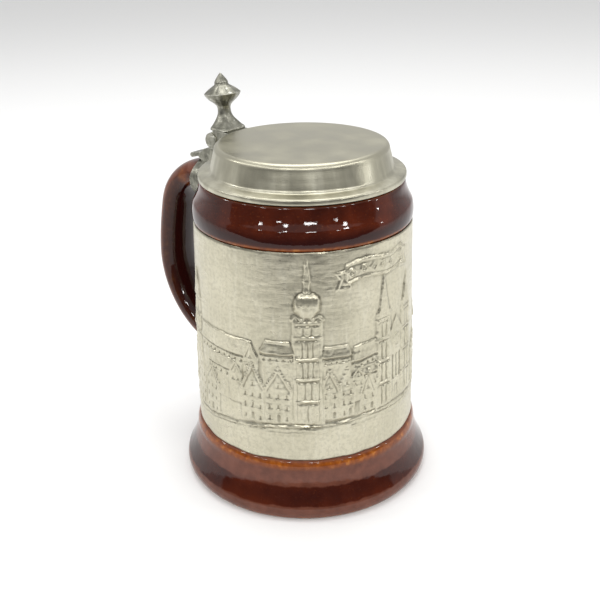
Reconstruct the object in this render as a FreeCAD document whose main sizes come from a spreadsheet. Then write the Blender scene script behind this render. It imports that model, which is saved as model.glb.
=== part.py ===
import FreeCAD, Part
import math
import os

import Sketcher

# A lidded half-litre beer stein: glazed stoneware mug, luted handle, pewter relief band,
# pewter strap on the handle, and a pewter lid that swings on a five-knuckle hinge.
# Millimetres, +Z up. The origin is on the foot plane, on the mug's axis. The handle points
# to -X and the hinge axis runs along Y.

DIMENSIONS = {
    # stoneware mug, outside
    "foot_inner_radius": 45.5,
    "foot_radius": 51.6,
    "foot_recess_depth": 2.4,
    "base_edge_round": 5.2,
    "flare_start_radius": 52.9,
    "flare_start_height": 7.2,
    "flare_top_radius": 48.3,
    "flare_top_height": 20.0,
    "flare_curve": 42.0,
    "ledge_radius": 47.2,
    "ledge_height": 24.9,
    "ledge_round": 8.0,
    "body_top_height": 115.0,
    "lip_foot_radius": 44.9,
    "lip_round": 8.0,
    "lip_top_radius": 44.6,
    "lip_top_height": 122.0,
    "neck_radius": 42.3,
    "neck_height": 127.0,
    "neck_curve": 24.0,
    "rim_radius": 41.7,
    "rim_height": 130.8,
    "rim_round": 1.2,
    # stoneware mug, inside
    "bore_radius": 40.0,
    "floor_height": 9.0,
    "floor_fillet": 7.0,
    # relief band
    "band_bottom_radius": 47.0,
    "band_top_radius": 44.95,
    "band_thickness": 1.0,
    "band_bottom_height": 25.2,
    "band_top_height": 114.1,
    "band_opening_angle": 36.0,
    # handle
    "handle_start": 43.0,
    "handle_run_end": 54.6,
    "handle_run_height": 122.5,
    "handle_shoulder_radius": 22.5,
    "handle_shoulder_angle": 75.0,
    "handle_back_radius": 143.0,
    "handle_back_angle": 9.7,
    "handle_heel_radius": 36.3,
    "root_half_width": 8.6,
    "root_half_height": 5.6,
    "grip_half_width": 9.4,
    "grip_half_height": 6.4,
    "tail_half_width": 8.4,
    "tail_half_height": 6.0,
    # strap round the handle's root
    "strap_clearance": 0.05,
    "collar_start": 46.8,
    "collar_length": 10.6,
    "collar_half_width": 10.3,
    "collar_half_height": 8.1,
    "collar_height": 121.1,
    "saddle_width": 10.4,
    "saddle_inner": 43.3,
    "saddle_base_height": 127.0,
    "saddle_top_height": 135.0,
    "saddle_outer": 49.6,
    "saddle_curve": 9.0,
    "saddle_heel": 53.0,
    "ear_root": 54.6,
    "ear_root_height": 132.4,
    "ear_tip": 60.7,
    "ear_tip_height": 131.2,
    "ear_tip_round": 1.15,
    "ear_hollow": 56.6,
    "ear_hollow_height": 130.1,
    # hinge
    "hinge_reach": 45.8,
    "hinge_height": 139.0,
    "knuckle_radius": 3.4,
    "knuckle_width": 2.5,
    "knuckle_gap": 0.14,
    "pin_radius": 1.2,
    "pin_clearance": 0.05,
    "cap_thickness": 0.75,
    "cap_radius": 3.3,
    "cap_round": 0.45,
    # lid
    "lid_gap": 0.2,
    "flange_radius": 42.0,
    "flange_edge": 0.45,
    "flange_thickness": 2.4,
    "flange_fall": 0.75,
    "riser_foot_radius": 36.9,
    "riser_foot_round": 1.5,
    "riser_top_radius": 35.2,
    "riser_top_height": 142.2,
    "lid_shoulder": 2.3,
    "lid_top_height": 144.5,
    "lid_crown": 0.5,
    "lid_wall": 1.8,
    # tang between the lid and its knuckles
    "tang_inner": 33.6,
    "tang_outer": 41.9,
    "tang_top_height": 143.4,
    "tang_web_height": 136.0,
    "tang_web_overlap": 0.5,
    "tang_web_crest": 1.0,
    # thumblift
    "foot_block_width": 13.8,
    "foot_block_depth": 9.0,
    "foot_block_inner": 37.6,
    "foot_block_height": 1.8,
    "flare_height": 5.4,
    "flare_top_side": 3.2,
    "thumb_reach": 43.1,
    "thumb_lean": 5.5,
    "thumb_neck_radius": 2.6,
    "thumb_neck_height": 7.0,
    "bulb_base_radius": 2.9,
    "bulb_base_height": 10.4,
    "bulb_radius": 7.5,
    "bulb_height": 15.2,
    "bulb_dome": 7.8,
    "bud_base_radius": 2.5,
    "bud_base_height": 18.6,
    "bud_radius": 2.8,
    "bud_height": 19.4,
    "bud_shoulder_radius": 1.9,
    "bud_shoulder_height": 21.4,
    "bud_tip_radius": 0.5,
    "bud_top_height": 23.4,
}

KNUCKLES = 5

document = FreeCAD.newDocument("beer_stein")


class Size:
    """A length worked out from the sheet: its number now, and the expression that binds it."""

    def __init__(self, value, text):
        self.value = value
        self.text = text

    def joined(self, sign, other, value):
        right = other.text if isinstance(other, Size) else str(other)
        return Size(value, "(%s %s %s)" % (self.text, sign, right))

    def __add__(self, other):
        return self.joined("+", other, self.value + number(other))

    def __sub__(self, other):
        return self.joined("-", other, self.value - number(other))

    def __mul__(self, other):
        return self.joined("*", other, self.value * number(other))

    def __truediv__(self, other):
        return self.joined("/", other, self.value / number(other))

    def __neg__(self):
        return Size(-self.value, "(-1 * %s)" % self.text)


def number(length):
    return length.value if isinstance(length, Size) else float(length)


def size(name):
    return Size(DIMENSIONS[name], "sizes." + name)


def function(name, angle):
    """sin or cos of a sheet angle in degrees."""
    turned = getattr(math, name)(math.radians(angle.value))
    return Size(turned, "%s(%s * 1deg)" % (name, angle.text))


def write_sheet():
    sheet = document.addObject("Spreadsheet::Sheet", "sizes")
    for row, (name, value) in enumerate(DIMENSIONS.items(), start=1):
        sheet.set("A%d" % row, name)
        sheet.set("B%d" % row, str(value))
        sheet.setAlias("B%d" % row, name)
    document.recompute()


# ---- sketching -------------------------------------------------------------------------

ORIGIN = -1
VERTICAL_AXIS = -2
START, END, CENTRE = 1, 2, 3


def new_body(label):
    body = document.addObject("PartDesign::Body", label)
    body.Label = label
    return body


def origin_plane(body, role):
    return next(item for item in body.Origin.OriginFeatures if item.Role == role)


def new_sketch(body, name, role, along_normal=None):
    """A sketch on one of its body's origin planes, moved along the plane's normal if asked."""
    sketch = body.newObject("Sketcher::SketchObject", name)
    sketch.AttachmentSupport = [(origin_plane(body, role), "")]
    sketch.MapMode = "FlatFace"
    if along_normal is not None:
        sketch.AttachmentOffset = FreeCAD.Placement(
            FreeCAD.Vector(0, 0, along_normal.value), FreeCAD.Rotation()
        )
        sketch.setExpression(".AttachmentOffset.Base.z", along_normal.text)
    return sketch


def bind(sketch, constraint, length):
    index = sketch.addConstraint(constraint)
    if isinstance(length, Size):
        sketch.setExpression("Constraints[%d]" % index, length.text)


def pin(sketch, geometry, which, across, up):
    """Fix a point by its distances from the sketch's origin, or onto an axis where one is 0."""
    if number(across) == 0:
        sketch.addConstraint(
            Sketcher.Constraint("PointOnObject", geometry, which, VERTICAL_AXIS)
        )
    else:
        across_rule = Sketcher.Constraint(
            "DistanceX", ORIGIN, START, geometry, which, number(across)
        )
        bind(sketch, across_rule, across)
    if number(up) == 0:
        sketch.addConstraint(Sketcher.Constraint("PointOnObject", geometry, which, ORIGIN))
    else:
        up_rule = Sketcher.Constraint("DistanceY", ORIGIN, START, geometry, which, number(up))
        bind(sketch, up_rule, up)


def arc_between(start, end, radius, turn):
    """The short arc from start to end. turn is 1 for anticlockwise and -1 for clockwise."""
    middle = (start + end) * 0.5
    chord = end - start
    rise = math.sqrt(max(radius**2 - (chord.Length / 2) ** 2, 0.0))
    across = FreeCAD.Vector(-chord.y, chord.x, 0).normalize()
    centre = middle + across * rise * turn
    first, last = (start, end) if turn > 0 else (end, start)
    angles = [math.atan2(p.y - centre.y, p.x - centre.x) for p in (first, last)]
    return Part.ArcOfCircle(Part.Circle(centre, FreeCAD.Vector(0, 0, 1), radius), *angles)


def draw_outline(sketch, points):
    """A closed outline. Each point is (across, up), or (across, up, radius, turn) when an arc
    leads from it to the next point."""
    places = [FreeCAD.Vector(number(p[0]), number(p[1]), 0) for p in points]
    ends = []
    for index, point in enumerate(points):
        here = places[index]
        there = places[(index + 1) % len(points)]
        if len(point) == 2:
            geometry = sketch.addGeometry(Part.LineSegment(here, there))
            ends.append((geometry, START, END))
        else:
            radius, turn = point[2], point[3]
            geometry = sketch.addGeometry(arc_between(here, there, number(radius), turn))
            ends.append((geometry, START, END) if turn > 0 else (geometry, END, START))
    for index, (geometry, first, last) in enumerate(ends):
        following, following_first, _ = ends[(index + 1) % len(ends)]
        sketch.addConstraint(
            Sketcher.Constraint("Coincident", geometry, last, following, following_first)
        )
    for (geometry, first, _), point in zip(ends, points):
        pin(sketch, geometry, first, point[0], point[1])
        if len(point) == 4:
            radius_rule = Sketcher.Constraint("Radius", geometry, number(point[2]))
            bind(sketch, radius_rule, point[2])


def draw_circle(sketch, across, up, radius):
    centre = FreeCAD.Vector(number(across), number(up), 0)
    circle = Part.Circle(centre, FreeCAD.Vector(0, 0, 1), number(radius))
    geometry = sketch.addGeometry(circle)
    pin(sketch, geometry, CENTRE, across, up)
    bind(sketch, Sketcher.Constraint("Radius", geometry, number(radius)), radius)


def draw_oval(sketch, half_width, half_height, up=0):
    """An ellipse centred on the sketch's vertical axis, wider than it is high."""
    centre = FreeCAD.Vector(0, number(up), 0)
    side = centre + FreeCAD.Vector(number(half_width), 0, 0)
    top = centre + FreeCAD.Vector(0, number(half_height), 0)
    ellipse = sketch.addGeometry(Part.Ellipse(side, top, centre))
    pin(sketch, ellipse, CENTRE, 0, up)
    first_axis = ellipse + 1
    sketch.exposeInternalGeometry(ellipse)
    sketch.addConstraint(Sketcher.Constraint("Horizontal", first_axis))
    for axis, length in ((first_axis, half_width), (first_axis + 1, half_height)):
        rule = Sketcher.Constraint("Distance", axis, 2 * number(length))
        bind(sketch, rule, length * 2)


# ---- features --------------------------------------------------------------------------


def revolve(body, sketch, kind="PartDesign::Revolution"):
    """A full turn of the sketch about its vertical axis, added or (as a Groove) cut away."""
    turned = body.newObject(kind, sketch.Name + "_turned")
    turned.Profile = sketch
    turned.ReferenceAxis = (sketch, ["V_Axis"])
    turned.Angle = 360
    return turned


def pad(body, sketch, length, midplane=True):
    raised = body.newObject("PartDesign::Pad", sketch.Name + "_pad")
    raised.Profile = sketch
    raised.Midplane = midplane
    raised.setExpression("Length", length.text)
    return raised


def mirror_across_xz(body, feature):
    mirrored = body.newObject("PartDesign::Mirrored", feature.Name + "_mirrored")
    mirrored.Originals = [feature]
    mirrored.MirrorPlane = (origin_plane(body, "XZ_Plane"), [""])
    body.Tip = mirrored
    return mirrored


def bore(body, name, radius):
    """A hole for the hinge pin, right through along Y. It must take material away."""
    document.recompute()
    before = body.Shape.Volume
    sketch = new_sketch(body, name, "XZ_Plane")
    draw_circle(sketch, -size("hinge_reach"), size("hinge_height"), radius)
    pocket = body.newObject("PartDesign::Pocket", name + "_pocket")
    pocket.Profile = sketch
    pocket.Midplane = True
    pocket.setExpression("Length", "sizes.foot_block_width * 2")
    document.recompute()
    if body.Shape.Volume >= before:
        raise RuntimeError(name + " removed nothing")
    return pocket


# ---- outlines shared by pieces that meet -----------------------------------------------


def mug_outside():
    """The mug's outer outline, from the foot ring up to the rim, at +X."""
    return [
        (size("foot_radius"), 0, size("base_edge_round"), 1),
        (size("flare_start_radius"), size("flare_start_height"), size("flare_curve"), -1),
        (size("flare_top_radius"), size("flare_top_height"), size("ledge_round"), 1),
        (size("ledge_radius"), size("ledge_height")),
        (size("band_bottom_radius") - size("band_thickness"), size("band_bottom_height")),
        (size("band_top_radius") - size("band_thickness"), size("band_top_height")),
        (size("lip_foot_radius"), size("body_top_height"), size("lip_round"), 1),
        (size("lip_top_radius"), size("lip_top_height"), size("neck_curve"), -1),
        (size("neck_radius"), size("neck_height")),
        (size("rim_radius"), size("rim_height") - size("rim_round"), size("rim_round"), 1),
        (size("rim_radius") - size("rim_round"), size("rim_height")),
    ]


def lid_outside():
    """The lid's outer outline, from the underside of the flange to the crown, at +X."""
    underside = size("rim_height") + size("lid_gap")
    flange_top = underside + size("flange_thickness")
    flange = size("flange_radius")
    edge = size("flange_edge")
    foot = size("riser_foot_radius")
    foot_round = size("riser_foot_round")
    shoulder = size("lid_shoulder")
    return [
        (flange - edge, underside, edge, 1),
        (flange, underside + edge),
        (flange, flange_top - edge, edge, 1),
        (flange - edge, flange_top),
        (foot + foot_round, flange_top + size("flange_fall"), foot_round, -1),
        (foot, flange_top + size("flange_fall") + foot_round),
        (size("riser_top_radius"), size("riser_top_height"), shoulder, 1),
        (size("riser_top_radius") - shoulder, size("lid_top_height")),
        (0, size("lid_top_height") + size("lid_crown")),
    ]


# ---- the mug ---------------------------------------------------------------------------


def make_stoneware_body():
    body = new_body("stoneware_body")
    sketch = new_sketch(body, "mug_outline", "XZ_Plane")
    bore_radius = size("bore_radius")
    floor = size("floor_height")
    fillet = size("floor_fillet")
    inside = [
        (bore_radius, size("rim_height") - size("rim_round")),
        (bore_radius, floor + fillet, fillet, -1),
        (bore_radius - fillet, floor),
        (0, floor),
        (0, size("foot_recess_depth")),
        (size("foot_inner_radius") - size("foot_recess_depth"), size("foot_recess_depth")),
        (size("foot_inner_radius"), 0),
    ]
    draw_outline(sketch, mug_outside() + inside)
    revolve(body, sketch)
    return body


def make_relief_band():
    """A sheet bent round the mug in its recess, open where the handle is."""
    body = new_body("relief_band")
    sketch = new_sketch(body, "band_section", "XZ_Plane")
    thickness = size("band_thickness")
    bottom = size("band_bottom_radius")
    top = size("band_top_radius")
    section = [
        (bottom - thickness, size("band_bottom_height")),
        (bottom, size("band_bottom_height")),
        (top, size("band_top_height")),
        (top - thickness, size("band_top_height")),
    ]
    draw_outline(sketch, section)
    turned = revolve(body, sketch)
    turned.Midplane = True
    turned.setExpression("Angle", "360 - sizes.band_opening_angle")
    return body


def handle_path():
    """The corners of the handle's centre line, in the XZ plane, as (across, up) sizes, and
    the angle in degrees that it has turned by at each."""
    start = (-size("handle_start"), size("handle_run_height"))
    run_end = (-size("handle_run_end"), size("handle_run_height"))
    shoulder = size("handle_shoulder_radius")
    back = size("handle_back_radius")
    heel = size("handle_heel_radius")
    first = size("handle_shoulder_angle")
    second = first + size("handle_back_angle")
    sin_first, cos_first = function("sin", first), function("cos", first)
    sin_second, cos_second = function("sin", second), function("cos", second)
    one = Size(1.0, "1")
    shoulder_end = (
        run_end[0] - shoulder * sin_first,
        run_end[1] - shoulder * (one - cos_first),
    )
    back_end = (
        shoulder_end[0] - back * (sin_second - sin_first),
        shoulder_end[1] - back * (cos_first - cos_second),
    )
    heel_end = (
        back_end[0] + heel * sin_second,
        back_end[1] - heel * (one + cos_second),
    )
    return [start, run_end, shoulder_end, back_end, heel_end]


def draw_run_and_arcs(sketch, corners, radii):
    """A straight run from the first corner to the second, then an arc to each one after."""
    places = [FreeCAD.Vector(across.value, up.value, 0) for across, up in corners]
    run = sketch.addGeometry(Part.LineSegment(places[0], places[1]))
    pin(sketch, run, START, *corners[0])
    pin(sketch, run, END, *corners[1])
    previous = run
    for index, radius in enumerate(radii, start=1):
        arc = arc_between(places[index], places[index + 1], radius.value, 1)
        geometry = sketch.addGeometry(arc)
        sketch.addConstraint(Sketcher.Constraint("Coincident", previous, END, geometry, START))
        pin(sketch, geometry, END, *corners[index + 1])
        bind(sketch, Sketcher.Constraint("Radius", geometry, radius.value), radius)
        previous = geometry


def handle_section(body, name, corner, turned, half_width, half_height):
    """An oval across the handle's centre line at a corner of its path."""
    sketch = new_sketch(body, name, "YZ_Plane")
    across, up = corner
    sketch.AttachmentOffset = FreeCAD.Placement(
        FreeCAD.Vector(0, up.value, across.value),
        FreeCAD.Rotation(FreeCAD.Vector(1, 0, 0), turned.value),
    )
    sketch.setExpression(".AttachmentOffset.Base.y", up.text)
    sketch.setExpression(".AttachmentOffset.Base.z", across.text)
    sketch.setExpression(".AttachmentOffset.Rotation.Angle", turned.text)
    draw_oval(sketch, half_width, half_height)
    return sketch


def run_handle(body, kind, slack):
    """The handle's solid, or the room for it as a SubtractivePipe, with each of its ovals
    larger all round by slack."""
    path = new_sketch(body, "handle_line", "XZ_Plane")
    corners = handle_path()
    radii = [size("handle_" + name + "_radius") for name in ("shoulder", "back", "heel")]
    draw_run_and_arcs(path, corners, radii)
    level = Size(0.0, "0")
    first = size("handle_shoulder_angle")
    second = first + size("handle_back_angle")
    ovals = [
        ("root", level),
        ("root", level),
        ("grip", first),
        ("grip", second),
        ("tail", Size(180.0, "180")),
    ]
    sections = []
    for index, (corner, (kind_of_oval, turned)) in enumerate(zip(corners, ovals)):
        half_width = size(kind_of_oval + "_half_width") + slack
        half_height = size(kind_of_oval + "_half_height") + slack
        name = "%s_oval_%d" % (kind_of_oval, index)
        sections.append(handle_section(body, name, corner, turned, half_width, half_height))
    document.recompute()
    pipe = body.newObject(kind, "handle_pipe")
    pipe.Profile = sections[0]
    pipe.Spine = (path, [])
    pipe.Mode = "Standard"
    pipe.Transformation = "Multisection"
    pipe.Sections = [(section, [""]) for section in sections[1:]]
    document.recompute()


def make_handle():
    body = new_body("handle")
    run_handle(body, "PartDesign::AdditivePipe", Size(0.0, "0"))
    before = body.Shape.Volume
    seat = new_sketch(body, "wall_outline", "XZ_Plane")
    draw_outline(seat, mug_outside() + [(0, size("rim_height")), (0, 0)])
    revolve(body, seat, "PartDesign::Groove")
    document.recompute()
    if body.Shape.Volume >= before:
        raise RuntimeError("the handle's roots were not fitted to the wall")
    return body


# ---- the pewter strap ------------------------------------------------------------------


def hinge_half_span():
    """Half the length of the row of knuckles, with the gaps between them."""
    return (size("knuckle_width") * KNUCKLES + size("knuckle_gap") * (KNUCKLES - 1)) / 2


def draw_knuckle(sketch, inner, outer, bottom):
    """Side view of a knuckle with a web that stands on the level called bottom."""
    reach = size("hinge_reach")
    height = size("hinge_height")
    radius = size("knuckle_radius")
    outline = [
        (-outer, bottom),
        (-inner, bottom),
        (-inner, height),
        (-(reach - radius), height, radius, 1),
        (-reach, height + radius, radius, 1),
        (-(reach + radius), height),
    ]
    draw_outline(sketch, outline)


def make_handle_strap():
    """Collar cast round the handle's root, saddle, two inner knuckles and a thumb ear."""
    body = new_body("handle_strap")
    collar = new_sketch(body, "collar_section", "YZ_Plane", -size("collar_start"))
    draw_oval(
        collar, size("collar_half_width"), size("collar_half_height"), size("collar_height")
    )
    collar_pad = pad(body, collar, size("collar_length"), midplane=False)
    collar_pad.Reversed = True

    saddle = new_sketch(body, "saddle_side", "XZ_Plane")
    base = size("saddle_base_height")
    tip_round = size("ear_tip_round")
    draw_outline(
        saddle,
        [
            (-size("saddle_inner"), base),
            (-size("saddle_inner"), size("saddle_top_height")),
            (-size("saddle_outer"), size("saddle_top_height"), size("saddle_curve"), 1),
            (-size("ear_root"), size("ear_root_height")),
            (-size("ear_tip"), size("ear_tip_height"), tip_round, 1),
            (-(size("ear_tip") + tip_round), size("ear_tip_height") - tip_round, tip_round, 1),
            (-size("ear_tip"), size("ear_tip_height") - tip_round * 2),
            (-size("ear_hollow"), size("ear_hollow_height")),
            (-size("saddle_heel"), base),
        ],
    )
    pad(body, saddle, size("saddle_width"))
    document.recompute()
    before = body.Shape.Volume
    run_handle(body, "PartDesign::SubtractivePipe", size("strap_clearance"))
    if body.Shape.Volume >= before:
        raise RuntimeError("the collar was not opened for the handle")

    pitch = size("knuckle_width") + size("knuckle_gap")
    knuckle = new_sketch(
        body, "strap_knuckle_side", "XZ_Plane", pitch - size("knuckle_width") / 2
    )
    draw_knuckle(
        knuckle, size("saddle_inner"), size("saddle_outer"), size("ear_root_height")
    )
    knuckle_pad = pad(body, knuckle, size("knuckle_width"), midplane=False)
    mirror_across_xz(body, knuckle_pad)
    bore(body, "strap_bore", size("pin_radius") + size("pin_clearance"))
    return body


# ---- the lid ---------------------------------------------------------------------------


def make_lid():
    body = new_body("lid")
    sketch = new_sketch(body, "lid_outline", "XZ_Plane")
    wall = size("lid_wall")
    underside = size("rim_height") + size("lid_gap")
    inside = [
        (0, size("lid_top_height") + size("lid_crown") - wall),
        (size("riser_top_radius") - size("lid_shoulder"), size("lid_top_height") - wall),
        (size("riser_top_radius") - wall, size("riser_top_height") - wall / 2),
        (size("riser_foot_radius") - wall, underside),
    ]
    draw_outline(sketch, lid_outside() + inside)
    revolve(body, sketch)
    return body


def make_lid_tang():
    """Plate soldered between the lid's riser and flange, with the three outer knuckles."""
    body = new_body("lid_tang")
    plate = new_sketch(body, "plate_side", "XZ_Plane")
    underside = size("rim_height") + size("lid_gap")
    draw_outline(
        plate,
        [
            (-size("tang_inner"), underside + size("flange_thickness") / 2),
            (-size("tang_inner"), size("tang_top_height")),
            (-size("tang_outer"), size("tang_top_height")),
            (-size("tang_outer"), underside + size("flange_thickness") / 2),
        ],
    )
    pad(body, plate, hinge_half_span() * 2)

    def web(name, along_normal):
        sketch = new_sketch(body, name, "XZ_Plane", along_normal)
        reach = size("hinge_reach")
        height = size("hinge_height")
        radius = size("knuckle_radius")
        web_foot = size("tang_outer") - size("tang_web_overlap")
        outline = [
            (-web_foot, size("tang_web_height")),
            (-web_foot, size("tang_top_height")),
            (-(reach - size("tang_web_crest")), size("tang_top_height")),
            (-reach, height + radius, radius, 1),
            (-(reach + radius), height, radius, 1),
            (-reach, height - radius),
        ]
        draw_outline(sketch, outline)
        return sketch

    pad(body, web("middle_knuckle_side", None), size("knuckle_width"))
    pitch = size("knuckle_width") + size("knuckle_gap")
    outer = web("outer_knuckle_side", pitch * 2 - size("knuckle_width") / 2)
    outer_pad = pad(body, outer, size("knuckle_width"), midplane=False)
    mirror_across_xz(body, outer_pad)
    bore(body, "tang_bore", size("pin_radius"))

    before = body.Shape.Volume
    seat = new_sketch(body, "lid_seat", "XZ_Plane")
    draw_outline(seat, lid_outside() + [(0, underside)])
    revolve(body, seat, "PartDesign::Groove")
    document.recompute()
    if body.Shape.Volume >= before:
        raise RuntimeError("the tang was not fitted to the lid")
    return body


def rectangle(sketch, centre, depth, width):
    half_depth = depth / 2
    half_width = width / 2
    draw_outline(
        sketch,
        [
            (centre - half_depth, -half_width),
            (centre + half_depth, -half_width),
            (centre + half_depth, half_width),
            (centre - half_depth, half_width),
        ],
    )


def make_thumblift():
    """Foot block, flare, and a turned finial that leans outwards."""
    body = new_body("thumblift")
    top = size("tang_top_height")
    depth = size("foot_block_depth")
    block_centre = -(size("foot_block_inner") + depth / 2)
    block = new_sketch(body, "foot_block", "XY_Plane", top)
    rectangle(block, block_centre, depth, size("foot_block_width"))
    pad(body, block, size("foot_block_height"), midplane=False)

    block_top = top + size("foot_block_height")
    wide = new_sketch(body, "flare_foot", "XY_Plane", block_top)
    rectangle(wide, block_centre, depth, size("foot_block_width"))
    narrow = new_sketch(body, "flare_top", "XY_Plane", block_top + size("flare_height"))
    neck = size("thumb_neck_radius")
    rectangle(narrow, -size("thumb_reach"), size("flare_top_side"), size("flare_top_side"))
    flare = body.newObject("PartDesign::AdditiveLoft", "thumb_flare")
    flare.Profile = wide
    flare.Sections = [(narrow, [""])]
    flare.Ruled = True

    finial = new_sketch(body, "finial_outline", "XZ_Plane")
    lean = size("thumb_lean")
    finial.AttachmentOffset = FreeCAD.Placement(
        FreeCAD.Vector(-size("thumb_reach").value, top.value, 0),
        FreeCAD.Rotation(FreeCAD.Vector(0, 0, 1), lean.value),
    )
    finial.setExpression(".AttachmentOffset.Base.x", (-size("thumb_reach")).text)
    finial.setExpression(".AttachmentOffset.Base.y", top.text)
    finial.setExpression(".AttachmentOffset.Rotation.Angle", lean.text)
    outline = [
        (0, size("foot_block_height") / 2),
        (neck, size("foot_block_height") / 2),
        (neck, size("thumb_neck_height")),
        (size("bulb_base_radius"), size("bulb_base_height")),
        (size("bulb_radius"), size("bulb_height"), size("bulb_dome"), 1),
        (size("bud_base_radius"), size("bud_base_height")),
        (size("bud_radius"), size("bud_height")),
        (size("bud_shoulder_radius"), size("bud_shoulder_height")),
        (size("bud_tip_radius"), size("bud_top_height")),
        (0, size("bud_top_height")),
    ]
    draw_outline(finial, outline)
    revolve(body, finial)
    return body


# ---- hinge hardware --------------------------------------------------------------------


def lie_along_y(item, start):
    """Turn a cylinder's axis onto the hinge axis, with its near end at y = start."""
    spin = FreeCAD.Rotation(FreeCAD.Vector(1, 0, 0), -90)
    reach = -size("hinge_reach")
    height = size("hinge_height")
    item.Placement = FreeCAD.Placement(
        FreeCAD.Vector(reach.value, start.value, height.value), spin
    )
    item.setExpression(".Placement.Base.x", reach.text)
    item.setExpression(".Placement.Base.y", start.text)
    item.setExpression(".Placement.Base.z", height.text)


def make_hinge_pin():
    pin_rod = document.addObject("Part::Cylinder", "hinge_pin")
    pin_rod.Label = "hinge_pin"
    pin_rod.setExpression("Radius", "sizes.pin_radius")
    pin_rod.setExpression("Height", (hinge_half_span() * 2).text)
    lie_along_y(pin_rod, -hinge_half_span())
    return pin_rod


def make_hinge_caps():
    """Two domed pewter plugs that close the ends of the knuckles."""
    disc = document.addObject("Part::Cylinder", "cap_disc")
    disc.setExpression("Radius", "sizes.cap_radius")
    disc.setExpression("Height", "sizes.cap_thickness")
    lie_along_y(disc, hinge_half_span())
    document.recompute()
    outer = max(range(len(disc.Shape.Edges)), key=lambda i: disc.Shape.Edges[i].CenterOfMass.y)
    rounded = document.addObject("Part::Fillet", "cap_rounded")
    rounded.Base = disc
    edge_radius = size("cap_round").value
    rounded.Edges = [(outer + 1, edge_radius, edge_radius)]
    other = document.addObject("Part::Mirroring", "cap_mirrored")
    other.Source = rounded
    other.Base = FreeCAD.Vector(0, 0, 0)
    other.Normal = FreeCAD.Vector(0, 1, 0)
    caps = document.addObject("Part::Compound", "hinge_caps")
    caps.Label = "hinge_caps"
    caps.Links = [rounded, other]
    return caps


def check(pieces):
    for item in document.Objects:
        if "Invalid" in item.State or "Error" in item.State:
            raise RuntimeError("%s failed: %s" % (item.Name, item.State))
    for piece in pieces:
        if piece.Shape.isNull() or not piece.Shape.isValid():
            raise RuntimeError(piece.Label + " has no valid shape")


def main():
    write_sheet()
    pieces = [
        make_stoneware_body(),
        make_relief_band(),
        make_handle(),
        make_handle_strap(),
        make_lid(),
        make_lid_tang(),
        make_thumblift(),
        make_hinge_pin(),
        make_hinge_caps(),
    ]
    document.recompute()
    check(pieces)
    os.makedirs("parts", exist_ok=True)
    for piece in pieces:
        piece.Shape.exportStep("parts/%s.step" % piece.Label)
        box = piece.Shape.BoundBox
        print(
            "%-16s solids %d volume %9.1f x %.1f..%.1f y %.1f..%.1f z %.1f..%.1f"
            % (
                piece.Label,
                len(piece.Shape.Solids),
                piece.Shape.Volume,
                box.XMin,
                box.XMax,
                box.YMin,
                box.YMax,
                box.ZMin,
                box.ZMax,
            )
        )


main()
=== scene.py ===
import math

import bmesh
import bpy
import numpy as np
from mathutils import Matrix, Vector


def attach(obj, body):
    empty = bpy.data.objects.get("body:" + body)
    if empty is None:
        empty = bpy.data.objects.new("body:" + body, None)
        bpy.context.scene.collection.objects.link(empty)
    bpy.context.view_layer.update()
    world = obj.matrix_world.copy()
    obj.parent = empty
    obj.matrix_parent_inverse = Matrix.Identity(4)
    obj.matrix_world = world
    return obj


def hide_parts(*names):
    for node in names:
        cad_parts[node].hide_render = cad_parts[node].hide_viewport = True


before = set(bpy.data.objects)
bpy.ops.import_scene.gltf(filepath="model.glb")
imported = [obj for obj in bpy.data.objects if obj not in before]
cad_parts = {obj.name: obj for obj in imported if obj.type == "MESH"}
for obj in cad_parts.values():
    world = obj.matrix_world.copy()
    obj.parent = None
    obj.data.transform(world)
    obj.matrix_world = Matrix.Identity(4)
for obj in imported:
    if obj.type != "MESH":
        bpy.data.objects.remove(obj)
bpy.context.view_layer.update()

# A lidded stoneware stein with a pewter relief band. Lengths below are in millimetres, in the
# part's own frame: +Z up, the handle towards -X, the hinge axis along Y. MM turns them into
# Blender's metres.
MM = 0.001

# the mug, as the part has it
RIM_HEIGHT = 130.8
BORE_RADIUS = 40.0
BAND_BOTTOM = (47.0, 25.2)
BAND_TOP = (44.95, 114.1)
BAND_THICKNESS = 1.0
BAND_HALF_OPENING = 18.0

# how far apart points lie along an outline's arcs and straights, and how many steps a turned
# piece has round it
ARC_STEP = 0.35
STRAIGHT_STEP = 0.5
MUG_SEGMENTS = 240
LID_SEGMENTS = 256
# points of a turned piece nearer than this, in metres, are one point
SAME_POINT = 1e-7


# ---- outlines


def arc_points(start, end, radius, turn):
    """Points along the short arc from start to end. turn is 1 for anticlockwise."""
    chord = end - start
    rise = math.sqrt(max(radius**2 - (chord.length / 2) ** 2, 0.0))
    centre = (start + end) / 2 + Vector((-chord.y, chord.x)).normalized() * rise * turn
    first = start - centre
    sweep = first.angle_signed(end - centre)
    count = max(2, int(radius * abs(sweep) / ARC_STEP))
    turns = [Matrix.Rotation(-sweep * k / count, 2) for k in range(count)]
    return [tuple(centre + turned @ first) for turned in turns]


def outline(corners):
    """A dense closed run of points through corners. A corner is (across, up), or (across, up,
    radius, turn) when an arc leads from it to the next one."""
    points = []
    for corner, after in zip(corners, corners[1:] + corners[:1]):
        start, end = Vector(corner[:2]), Vector(after[:2])
        if len(corner) == 4:
            points += arc_points(start, end, *corner[2:])
            continue
        count = max(1, int((end - start).length / STRAIGHT_STEP))
        points += [tuple(start.lerp(end, k / count)) for k in range(count)]
    return points


def softened(points, passes):
    """The closed run of points with its corners worn round. Points on the axis stay on it."""
    run = np.array(points)
    on_axis = run[:, 0] < 1e-6
    for _ in range(passes):
        worn = (np.roll(run, 1, 0) + 2 * run + np.roll(run, -1, 0)) / 4
        worn[on_axis] = run[on_axis]
        run = worn
    return [tuple(p) for p in run]


# ---- mesh helpers


def put(name, data):
    """A new object with this data, in the scene."""
    obj = bpy.data.objects.new(name, data)
    bpy.context.scene.collection.objects.link(obj)
    return obj


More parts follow.
